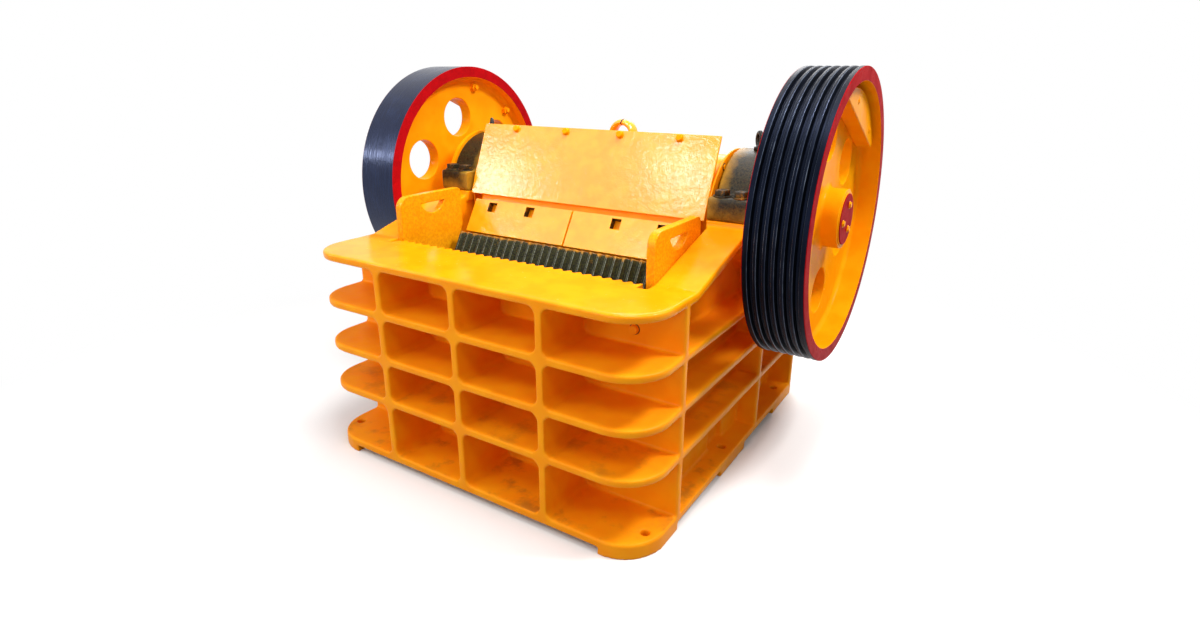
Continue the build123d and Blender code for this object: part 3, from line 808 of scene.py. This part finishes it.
def turned(outline: Sequence[Pair], round_mm: float, steps: int, side: Side) -> BMesh:
    """Spins a closed outline about the shaft line.

    Args:
        outline: Places along the shaft and radii, in millimetres.
        round_mm: Rounding of the outline's corners.
        steps: Faces round the wheel.
        side: The side of the machine that it is on.

    Returns:
        The turned mesh, closed and facing outwards.
    """
    mesh = bmesh.new()
    verts = [mesh.verts.new(spot(side.value * x, AXIS_Y, AXIS_Z + radius)) for x, radius in outline]
    for start, end in zip(verts, verts[1:] + verts[:1]):
        mesh.edges.new((start, end))
    bmesh.ops.bevel(
        mesh, geom=mesh.verts[:] + mesh.edges[:], offset=round_mm * MM, segments=3, profile=0.5,
        affect="VERTICES", material=-1, clamp_overlap=True,
    )
    bmesh.ops.spin(
        mesh, geom=mesh.verts[:] + mesh.edges[:], cent=spot(0, AXIS_Y, AXIS_Z), axis=(1, 0, 0), angle=2 * pi,
        steps=steps, use_merge=True,
    )
    bmesh.ops.remove_doubles(mesh, verts=mesh.verts, dist=WELD)
    bmesh.ops.recalc_face_normals(mesh, faces=mesh.faces)
    return mesh


@dataclass
class FrameCasting:
    """The box frame: walls, flanges, ribs, feet and bearing seats in one casting."""

    palette: Palette
    plug_x: float = 507.0
    plug_y: float = 217.0
    plug_z: float = 627.0
    # A thin dark ring round each plug's foot, which is painted shade.
    plug_shade_ring: Disc = Disc(16.8, 1.2, 0.4, sides=32)
    plug: Disc = Disc(15.0, 14.0, 2.5, sides=32, taper=0.88)

    def build(self) -> None:
        """Builds the casting and the plugs on its front wall."""
        parts = ("base_", "foot_", "front_", "rear_", "side_", "top_", "bearing_seat")
        nodes = tuple(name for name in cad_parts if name.startswith(parts))
        SandCasting("frame_casting", nodes, passes=3, keep=0.17).build("frame", self.palette.enamel)
        plugs = bmesh.new()
        for side in Side:
            foot = spot(side.value * self.plug_x, self.plug_y, self.plug_z)
            # The dark ring under the plug is painted shade at its edge.
            self.plug_shade_ring.add(plugs, foot, FRONT, material=1)
            self.plug.add(plugs, foot, FRONT)
        piece(plugs, "core_plugs", "frame", [self.palette.enamel, self.palette.bolt])


@dataclass
class BearingHousing:
    """One bearing: its black cap, cover, bolts and lifting ring."""

    palette: Palette
    side: Side
    bolt_x: Pair = (556.0, 622.0)
    bolt_y: float = 690.0
    foot_top: float = 942.4
    bolt_washer: Disc = Disc(30.0, 5.0, 1.2)
    bolt_nut: Disc = Disc(26.0, 18.0, 2.5, sides=4)
    nut_turn: float = 38.0
    ring_x: float = 590.0
    ring_y: float = 905.0
    cap_radius: float = 205.0
    ring_foot: Disc = Disc(17.0, 12.0, 2.0)
    ring_rise: float = 36.0
    ring_radius: float = 23.0
    ring_wire: float = 7.0
    ring_axis: Triple = (0.8, 0.6, 0.0)
    cover_face: float = 672.0
    screw_circle: float = 188.0
    screw_count: int = 8
    screw_size: float = 16.0

    def build(self) -> None:
        """Builds the cap, the bolts on its feet, the lifting ring and the cover's screws."""
        word = self.side.word
        paint_slot = "housing_paint"
        cap = SandCasting(f"cap_{word}", (f"bearing_cap_{word}",), voxel=4.0, keep=0.3)
        cap.build("frame", self.palette.housing, paint_slot)
        bolts = bmesh.new()
        for x in self.bolt_x:
            for y in (self.bolt_y, 2 * AXIS_Y - self.bolt_y):
                foot = spot(self.side.value * x, y, self.foot_top - SEAT)
                self.bolt_washer.add(bolts, foot, UP)
                self.bolt_nut.add(bolts, foot + UP * self.bolt_washer.height * MM, UP, self.nut_turn)
        piece(bolts, f"cap_bolts_{word}", "frame", [self.palette.bolt])
        ring = bmesh.new()
        top = spot(self.side.value * self.ring_x, self.ring_y, AXIS_Z + self.cap_radius)
        self.ring_foot.add(ring, top, UP)
        middle = top + UP * self.ring_rise * MM
        add_ring(ring, middle, Vector(self.ring_axis), self.ring_radius, self.ring_wire)
        piece(ring, f"cap_ring_{word}", "frame", [self.palette.steel])
        screws = bmesh.new()
        step = 360 / self.screw_count
        for number in range(self.screw_count):
            foot = round_shaft(self.screw_circle, step * (number + 0.5), self.side.value * self.cover_face)
            add_hex_bolt(screws, foot, self.side.out, self.screw_size)
        piece(screws, f"cover_screws_{word}", "frame", [self.palette.enamel])


class RimZone(IntEnum):
    """The painted zones of a wheel's rim, numbered as its finishes are."""

    TREAD = 0
    FACE = 1
    INSIDE = 2
    RIDGE = 3


@dataclass
class Wheel:
    """The flywheel: a rim turned smooth and painted in zones, on a cast web with its hub."""

    palette: Palette
    side: Side = Side.LEFT
    kind: str = "flywheel"
    width: float = 180.0
    inner_face: float = 720.5
    radius: float = 475.0
    rim_radius: float = 431.5
    corner: float = 1.8
    steps: int = 160
    face_band: float = 1.5
    ridge_band: float = 1.7
    inside_band: float = 1.0
    web_rounding: float = 3.0

    @property
    def middle(self) -> float:
        """The middle of the rim along the shaft."""
        return self.inner_face + self.width / 2

    def outline(self) -> list[Pair]:
        """The rim's section.

        Returns:
            Its corners, along the shaft and in radius.
        """
        outer_face = self.inner_face + self.width
        return [
            (self.inner_face, self.rim_radius),
            (self.inner_face, self.radius),
            (outer_face, self.radius),
            (outer_face, self.rim_radius),
        ]

    def tread(self) -> Material:
        """The finish of the rim's outside."""
        return self.palette.wheel_black

    def build(self) -> None:
        """Builds the rim with its painted zones, and rounds the web."""
        palette = self.palette
        rim = turned(self.outline(), self.corner, self.steps, self.side)
        ridge = self.radius - self.ridge_band
        face = self.width / 2 - self.face_band
        inside = self.rim_radius + self.inside_band
        # The ridges' rounded edges take the pale ridge finish, partly a painted highlight.
        paint(rim, RimZone.RIDGE, lambda place, normal: from_shaft(place) > ridge and abs(normal.x) > 0.3)
        paint(rim, RimZone.FACE, lambda place, normal: abs(abs(place.x) / MM - self.middle) > face)
        paint(rim, RimZone.INSIDE, lambda place, normal: from_shaft(place) < inside)
        finishes = [self.tread(), palette.red, palette.smooth_enamel, palette.ridge_grey_and_highlight]
        piece(rim, f"{self.kind}_rim_turned", "rotor", finishes, [f"{self.kind}_rim"])
        web = f"{self.kind}_web"
        piece(
            flat_copy(web), f"{web}_cast", "rotor", [palette.smooth_enamel], nodes=[web],
            rounding=self.web_rounding,
        )


@dataclass
class Pulley(Wheel):
    """The driven wheel, with V grooves for the belts."""

    side: Side = Side.RIGHT
    kind: str = "pulley"
    width: float = 186.0
    groove_count: int = 6
    groove_pitch: float = 27.0
    groove_top: float = 18.0
    groove_bottom: float = 9.0
    groove_depth: float = 16.0

    def outline(self) -> list[Pair]:
        """The rim's section with the grooves cut into it.

        Returns:
            Its corners, along the shaft and in radius.
        """
        plain = super().outline()
        floor = self.radius - self.groove_depth
        grooves = []
        for number in range(self.groove_count):
            centre = self.middle + (number - (self.groove_count - 1) / 2) * self.groove_pitch
            grooves += [
                (centre - self.groove_top / 2, self.radius),
                (centre - self.groove_bottom / 2, floor),
                (centre + self.groove_bottom / 2, floor),
                (centre + self.groove_top / 2, self.radius),
            ]
        return plain[:2] + grooves + plain[2:]

    def tread(self) -> Material:
        """The finish of the grooves."""
        return self.palette.groove_black


@dataclass
class WheelFittings:
    """The counterweights and end discs with their bolts."""

    palette: Palette
    weight_rounding: float = 4.0
    collar_x: float = 893.0
    collar: Disc = Disc(90.0, 3.5, 1.2, sides=96)
    plate_x: float = 894.0
    plate: Disc = Disc(84.0, 5.5, 1.5, sides=96)
    bolt_x: float = 899.4
    bolt_circle: float = 48.0
    bolt_first: float = 68.0
    bolt_count: int = 3
    bolt_turn: float = 17.0
    bolt_washer: Disc = Disc(13.0, 1.5, 0.5, sides=24)
    bolt_head: Disc = Disc(10.0, 6.4, 1.2, sides=6)
    stud_x: float = 773.0
    stud_places: tuple[Pair, ...] = ((999.0, 1256.0), (1207.0, 1150.0))
    stud_size: float = 20.0
    stud_length: float = 9.0
    screw_x: float = 879.5
    screw_places: tuple[Pair, ...] = ((985.0, 1236.0), (1198.0, 1132.0))
    screw_seat: Disc = Disc(13.0, 1.6, 0.7)
    screw_socket: Disc = Disc(6.5, 2.4, 0.4, sides=6)

    def build(self) -> None:
        """Builds both sides."""
        smooth = [self.palette.smooth_enamel]
        piece(
            flat_copy("counterweights"), "counterweight_castings", "rotor", smooth, nodes=["counterweights"],
            rounding=self.weight_rounding,
        )
        plates = bmesh.new()
        collars = bmesh.new()
        bolts = bmesh.new()
        for side in Side:
            self.collar.add(collars, round_shaft(0, 0, side.value * self.collar_x), side.out)
            self.plate.add(plates, round_shaft(0, 0, side.value * self.plate_x), side.out)
            for number in range(self.bolt_count):
                angle = self.bolt_first + 360 / self.bolt_count * number
                foot = round_shaft(self.bolt_circle, angle, side.value * self.bolt_x)
                self.bolt_washer.add(bolts, foot, side.out)
                self.bolt_head.add(bolts, foot, side.out, self.bolt_turn * number)
        piece(plates, "end_plates", "rotor", [self.palette.red], ["end_discs"])
        piece(collars, "hub_collars", "rotor", smooth)
        piece(bolts, "end_plate_bolts", "rotor", smooth)
        studs = bmesh.new()
        screws = bmesh.new()
        for side in Side:
            inwards = Vector((-side.value, 0, 0))
            for y, z in self.stud_places:
                foot = spot(side.value * self.stud_x, y, z)
                add_hex_bolt(studs, foot, inwards, self.stud_size, self.stud_length, turn=y)
            for y, z in self.screw_places:
                foot = spot(side.value * self.screw_x, y, z)
                self.screw_seat.add(screws, foot, side.out)
                self.screw_socket.add(screws, foot + side.out * MM, side.out)
        piece(studs, "counterweight_studs", "rotor", smooth)
        piece(screws, "counterweight_screws", "rotor", smooth)


@dataclass
class TensionGear:
    """The rear ends of the tension rods, behind the rear wall."""

    palette: Palette
    rod_x: float = 250.0
    wall_y: float = 1338.0
    spring_length: float = 34.0
    pad: Disc = Disc(52.0, 4.5, 1.5, sides=48)
    washer: Disc = Disc(36.0, 3.5, 1.0, sides=40)
    nut: Disc = Disc(30.0, 12.0, 2.0, sides=6)
    nut_turn: float = 12.0
    rod_end: Disc = Disc(14.2, 20.0, 1.5, sides=32)
    rod_end_rise: float = 8.0
    ridge: Disc = Disc(16.0, 3.1, 1.1, sides=32)
    ridge_pitch: float = 3.2
    ridge_count: int = 3

    def build(self) -> None:
        """Builds the pads on the wall, the washers, the hexagon nuts and the threads."""
        height = (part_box("tension_springs")[0].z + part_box("tension_springs")[1].z) / 2 / MM
        pads = bmesh.new()
        nuts = bmesh.new()
        for side in Side:
            x = side.value * self.rod_x
            self.pad.add(pads, spot(x, self.wall_y - SEAT, height), REAR)
            foot = spot(x, self.wall_y + self.spring_length, height)
            self.washer.add(nuts, foot, REAR, material=1)
            self.nut.add(nuts, foot + REAR * self.washer.height * MM, REAR, self.nut_turn)
            for number in range(self.ridge_count):
                rise = self.washer.height + self.nut.height + self.ridge_pitch * number
                self.ridge.add(nuts, foot + REAR * rise * MM, REAR)
            self.rod_end.add(nuts, foot + REAR * self.rod_end_rise * MM, REAR)
        piece(pads, "rod_pads", "frame", [self.palette.enamel])
        piece(nuts, "rod_nuts", "frame", [self.palette.steel, self.palette.worn_steel])


@dataclass
class CrushingChamber:
    """The fixed jaw plate and the cheek plates, in front of and beside the mouth."""

    palette: Palette
    plate_top: float = 743.5
    plate_rise: float = 0.8
    plate_front: float = 243.0
    plate_lap: float = 12.0
    plate_rounding: float = 1.5
    cheek_rounding: float = 3.0

    def build(self) -> None:
        """Builds the plates. The fixed one's painted top laps over the flange, so that no seam shows."""
        fixed = flat_copy("fixed_jaw_plate")
        top = self.plate_top * MM
        paint(fixed, 1, lambda place, normal: normal.z > 0.9 and place.z > top)
        for vert in fixed.verts:
            if vert.co.z > top:
                vert.co.z += self.plate_rise * MM
                if vert.co.y < FRONT_EDGE + self.plate_front * MM:
                    vert.co.y -= self.plate_lap * MM
        piece(
            fixed, "fixed_jaw_liner", "frame", [self.palette.manganese, self.palette.enamel],
            nodes=["fixed_jaw_plate"], rounding=self.plate_rounding,
        )
        for side in Side:
            node = f"cheek_plate_{side.word}"
            piece(
                flat_copy(node), f"cheek_liner_{side.word}", "frame", [self.palette.grained_enamel],
                nodes=[node], rounding=self.cheek_rounding,
            )


@dataclass
class SwingJaw:
    """The swing jaw with its toothed plate, clamp bars and guard."""

    palette: Palette
    head_y: float = 921.59
    head_z: float = 857.19
    head_end_x: float = 489.0
    head_end: Disc = Disc(203.0, 25.0, 4.0, sides=128)
    flange_x: float = 507.0
    flange_forward: float = 16.0
    flange_down: float = 6.0
    flange: Disc = Disc(222.0, 7.0, 2.0, sides=128)
    flange_bolt_y: Pair = (793.0, 1018.0)
    flange_bolt_z: float = 1022.0
    flange_washer: Disc = Disc(13.0, 1.8, 0.6)
    flange_bolt: Disc = Disc(9.5, 3.6, 0.9, sides=6)
    ridge_wear: float = 1.3
    bar_up: Triple = (0.0, 0.517, 0.856)
    bar_rounding: float = 2.4
    hole_height: float = 108.0
    hole_shares: Pair = (0.40685, 0.79657)
    hole_half_width: float = 9.5
    hole_half_height: float = 12.0
    hole_growth: float = 2.1
    hole_reach: float = 10.0
    plate_half_width: float = 467.0
    guard_rounding: float = 2.0
    guard_out: Triple = (0.0, -0.923, 0.383)
    guard_bolt_x: tuple[float, ...] = (-344.0, -110.0, 124.0, 359.0)
    guard_bolt_y: float = 768.0
    guard_bolt_z: float = 1109.3
    guard_bolt_rise: float = 1.5
    guard_washer: Disc = Disc(15.0, 3.0, 1.2)
    guard_bolt: Disc = Disc(13.0, 11.0, 2.6, taper=0.9)

    def build(self) -> None:
        """Builds the jaw's pieces."""
        palette = self.palette
        SandCasting("jaw_casting", ("swing_jaw",), voxel=6.0, keep=0.16).build("jaw", palette.enamel)
        self.teeth()
        for side in Side:
            node = f"clamp_bar_{side.word}"
            bar = flat_copy(node)
            self.widen_holes(bar)
            piece(
                bar, f"clamp_casting_{side.word}", "jaw", [palette.plate_enamel, palette.bolt], nodes=[node],
                rounding=self.bar_rounding,
            )
        piece(
            flat_copy("guard_plate"), "guard_sheet", "jaw", [palette.plate_enamel], nodes=["guard_plate"],
            rounding=self.guard_rounding,
        )
        self.guard_bolts()
        self.head_flanges()

    def teeth(self) -> None:
        """Builds the toothed plate, with the crests of its teeth worn round; their pale finish is partly wear
        and partly a painted highlight.
        """
        teeth = flat_copy("moving_jaw_plate")
        crests = [edge for edge in teeth.edges if edge.is_convex and edge.calc_face_angle(0) > SHARP]
        bmesh.ops.bevel(
            teeth, geom=crests, offset=self.ridge_wear * MM, segments=2, profile=0.5, affect="EDGES",
            material=1, clamp_overlap=True,
        )
        finishes = [self.palette.manganese, self.palette.worn_highlit_manganese]
        piece(teeth, "toothed_liner", "jaw", finishes, ["moving_jaw_plate"])

    def widen_holes(self, bar: BMesh) -> None:
        """Opens a clamp bar's square holes to full width, with painted shade on their left and top walls.

        Args:
            bar: The clamp bar's mesh.
        """
        up = Vector(self.bar_up)
        low = min(vert.co.dot(up) for vert in bar.verts)
        middle = low + self.hole_height * MM
        centres = [share * self.plate_half_width * MM for share in self.hole_shares]
        for vert in bar.verts:
            for centre in centres:
                offset = abs(vert.co.x) - centre
                rise = vert.co.dot(up) - middle
                if abs(offset) < self.hole_half_width * MM and abs(rise) < self.hole_half_height * MM:
                    vert.co.x += (self.hole_growth - 1) * offset * (1 if vert.co.x > 0 else -1)
                    vert.co += up * (self.hole_growth - 1) * rise
        reach = self.hole_reach * self.hole_growth * MM
        # The hole walls that face +X or face down take the dark bolt finish as painted shade.
        paint(
            bar,
            1,
            lambda place, normal: (normal.x > 0.9 or normal.dot(up) < -0.9)
            and abs(place.dot(up) - middle) < reach
            and any(abs(abs(place.x) - centre) < reach for centre in centres),
        )

    def guard_bolts(self) -> None:
        """Adds the round heads along the guard's top."""
        heads = bmesh.new()
        out = Vector(self.guard_out)
        for x in self.guard_bolt_x:
            foot = spot(x, self.guard_bolt_y, self.guard_bolt_z)
            self.guard_washer.add(heads, foot - out * SEAT * MM, out)
            self.guard_bolt.add(heads, foot + out * self.guard_bolt_rise * MM, out)
        piece(heads, "guard_bolts", "jaw", [self.palette.smooth_enamel])

    def head_flanges(self) -> None:
        """Adds the flange that closes each end of the jaw head."""
        rings = bmesh.new()
        for side in Side:
            self.head_end.add(rings, spot(side.value * self.head_end_x, self.head_y, self.head_z), side.out)
            centre = spot(
                side.value * self.flange_x, self.head_y - self.flange_forward, self.head_z - self.flange_down
            )
            self.flange.add(rings, centre, side.out)
            for y in self.flange_bolt_y:
                face = spot(side.value * (self.flange_x + self.flange.height), y, self.flange_bolt_z)
                self.flange_washer.add(rings, face - side.out * SEAT * MM, side.out, material=1)
                self.flange_bolt.add(rings, face, side.out, turn=y)
        piece(rings, "head_flanges", "jaw", [self.palette.enamel, self.palette.bolt])


@dataclass
class LiftingEye:
    """The swing jaw's eye: a thick bar forged to a ring, with an open joint at its top."""

    palette: Palette
    y: float = 1004.0
    ring_z: float = 1090.0
    ring_radius: float = 45.5
    bar: float = 12.5
    bar_depth: float = 2.2
    joint: Pair = (0.02, 0.15)
    joint_edge: float = 0.7
    joint_depth: float = 2.0
    foot_z: float = 1012.0
    foot: Disc = Disc(28.0, 34.0, 4.0, sides=40, taper=0.8)

    def build(self) -> None:
        """Builds the eye on its foot."""
        eye = bmesh.new()
        centre = spot(0, self.y, self.ring_z)
        add_ring(eye, centre, REAR, self.ring_radius, self.bar, self.bar_depth)
        start, end = self.joint
        gap = [face for face in eye.faces if start < self.lean(face.calc_center_median() - centre) < end]
        for face in gap:
            face.material_index = 1
        bmesh.ops.inset_region(
            eye, faces=gap, thickness=self.joint_edge * MM, depth=-self.joint_depth * MM, use_even_offset=True
        )
        self.foot.add(eye, spot(0, self.y, self.foot_z), UP)
        piece(
            eye, "forged_eye", "jaw", [self.palette.plate_enamel, self.palette.steel], nodes=["lifting_eye"]
        )

    @staticmethod
    def lean(place: Vector) -> float:
        """The angle of a place on the ring from straight up towards the right, in radians."""
        return atan2(place.x, place.z)


@dataclass(frozen=True)
class SoftBox:
    """A square soft lamp, with its place and size in metres and its power in watts."""

    name: str
    place: Triple
    size: float
    power: float


@dataclass(frozen=True)
class Studio:
    """The floor, the lamps and the camera, in metres."""

    camera_place: Triple = (1.3775, -2.0336, 1.3154)
    azimuth: float = 32.28
    elevation: float = 19.39
    roll: float = 0.23
    lens: float = 20.18
    shift: Pair = (0.00145, -0.00404)
    floor_seen: str = "#F8F8F7"
    floor_bounce: str = "#9A9A98"
    floor_size: float = 30.0
    fade_from: float = 1.1
    fade_to: float = 2.6
    surround: float = 0.29
    lamp_target: Triple = (0.0, 0.0, 0.9)
    boxes: tuple[SoftBox, ...] = (
        SoftBox("top", (0.6, -0.6, 4.4), 1.3, 100.0),
        SoftBox("left_window", (-2.5, -2.0, 2.25), 0.45, 11.0),
        SoftBox("right_window", (-0.9, -2.3, 2.7), 0.4, 9.5),
        SoftBox("doorway", (-3.3, -2.1, 1.9), 0.3, 8.0),
        SoftBox("awning", (-1.8, -2.1, 2.7), 1.6, 12.0),
        SoftBox("front_right", (2.3, -1.9, 3.0), 0.8, 17.0),
        SoftBox("skylight", (-0.6, 1.1, 4.1), 1.2, 20.0),
        SoftBox("front", (-0.5, -4.4, 1.7), 2.4, 46.0),
        SoftBox("right", (2.3, 0.7, 3.7), 0.8, 118.0),
        SoftBox("behind", (-1.0, 3.6, 3.2), 2.0, 50.0),
    )

    def build(self) -> None:
        """Builds the set."""
        self.floor()
        self.world()
        self.lamps()
        self.camera()
        bpy.context.scene.view_settings.view_transform = "Standard"

    def floor(self) -> None:
        """Lays a pale floor."""
        mesh = bmesh.new()
        bmesh.ops.create_grid(mesh, x_segments=8, y_segments=8, size=self.floor_size)
        data = bpy.data.meshes.new("studio_floor")
        mesh.to_mesh(data)
        mesh.free()
        floor = bpy.data.objects.new("studio_floor", data)
        bpy.context.scene.collection.objects.link(floor)
        data.materials.append(self.floor_finish())

    def floor_finish(self) -> Material:
        """Makes matt floor paint that fades to plain white away from the machine.

        Returns:
            The floor paint.
        """
        finish = Finish("pale_floor")
        seen = seen_white(finish.tree)
        tones = {SHARE: seen, UNDER: self.floor_bounce, OVER: self.floor_seen}
        colour = finish.add("Mix", tones, data_type="RGBA")
        distance = finish.add("VectorMath", {0: finish.place}, operation="LENGTH")
        far = finish.add(
            "MapRange",
            {"Value": distance, START: self.fade_from, END: self.fade_to},
            interpolation_type="SMOOTHSTEP",
        )
        fade = finish.add("Math", {0: far, 1: seen}, operation="MULTIPLY")
        glow = finish.add("Emission", {"Color": WHITE, "Strength": 1.0})
        both = finish.add("MixShader", {0: fade, 1: finish.shader, 2: glow})
        feed(finish.tree, finish.tree.nodes["Material Output"].inputs["Surface"], both)
        return finish.shade({"Base Color": colour, "Roughness": 0.9, "Specular IOR Level": 0.1})

    def world(self) -> None:
        """Makes a white surround that is dimmer as a lamp than it looks."""
        world = bpy.data.worlds.new("studio")
        bpy.context.scene.world = world
        world.use_nodes = True
        tree = world.node_tree
        tree.nodes.clear()
        strength = add_node(tree, "MapRange", {"Value": seen_white(tree), LEAST: self.surround})
        background = add_node(tree, "Background", {"Color": WHITE, "Strength": strength})
        add_node(tree, "OutputWorld", {"Surface": background})

    def lamps(self) -> None:
        """Hangs the soft boxes."""
        for box in self.boxes:
            data = bpy.data.lights.new(box.name, "AREA")
            data.shape = "SQUARE"
            data.size = box.size
            data.energy = box.power
            lamp = bpy.data.objects.new(box.name, data)
            lamp.location = box.place
            aim = Vector(self.lamp_target) - Vector(box.place)
            lamp.rotation_euler = aim.to_track_quat("-Z", "Y").to_euler()
            bpy.context.scene.collection.objects.link(lamp)

    def camera(self) -> None:
        """Sets the camera where the photograph was taken from."""
        azimuth, elevation, roll = (radians(value) for value in (self.azimuth, self.elevation, self.roll))
        forward = Vector((-sin(azimuth) * cos(elevation), cos(azimuth) * cos(elevation), -sin(elevation)))
        right = Vector((cos(azimuth), sin(azimuth), 0))
        up = right.cross(forward)
        right, up = right * cos(roll) + up * sin(roll), up * cos(roll) - right * sin(roll)
        data = bpy.data.cameras.new("camera")
        data.sensor_width = 36.0
        data.lens = self.lens
        data.shift_x, data.shift_y = self.shift
        data.clip_end = 100.0
        camera = bpy.data.objects.new("camera", data)
        turn = Matrix((right, up, -forward)).transposed().to_4x4()
        camera.matrix_world = Matrix.Translation(self.camera_place) @ turn
        bpy.context.scene.collection.objects.link(camera)
        bpy.context.scene.camera = camera


def dress_remaining(palette: Palette) -> None:
    """Gives each CAD node its finish, for those that still show.

    Args:
        palette: The machine's finishes.
    """
    steel = ("eccentric_shaft", "tension_rods", "tension_springs", "toggle_plate")
    for name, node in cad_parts.items():
        node.data.materials.clear()
        node.data.materials.append(palette.steel if name in steel else palette.enamel)


def main() -> None:
    """Builds the machine and the studio."""
    logging.basicConfig(level=logging.INFO, format="%(message)s")
    palette = Palette()
    dress_remaining(palette)
    FrameCasting(palette).build()
    for side in Side:
        BearingHousing(palette, side).build()
    Wheel(palette).build()
    Pulley(palette).build()
    WheelFittings(palette).build()
    TensionGear(palette).build()
    CrushingChamber(palette).build()
    SwingJaw(palette).build()
    LiftingEye(palette).build()
    Studio().build()


if __name__ == "__main__":
    main()
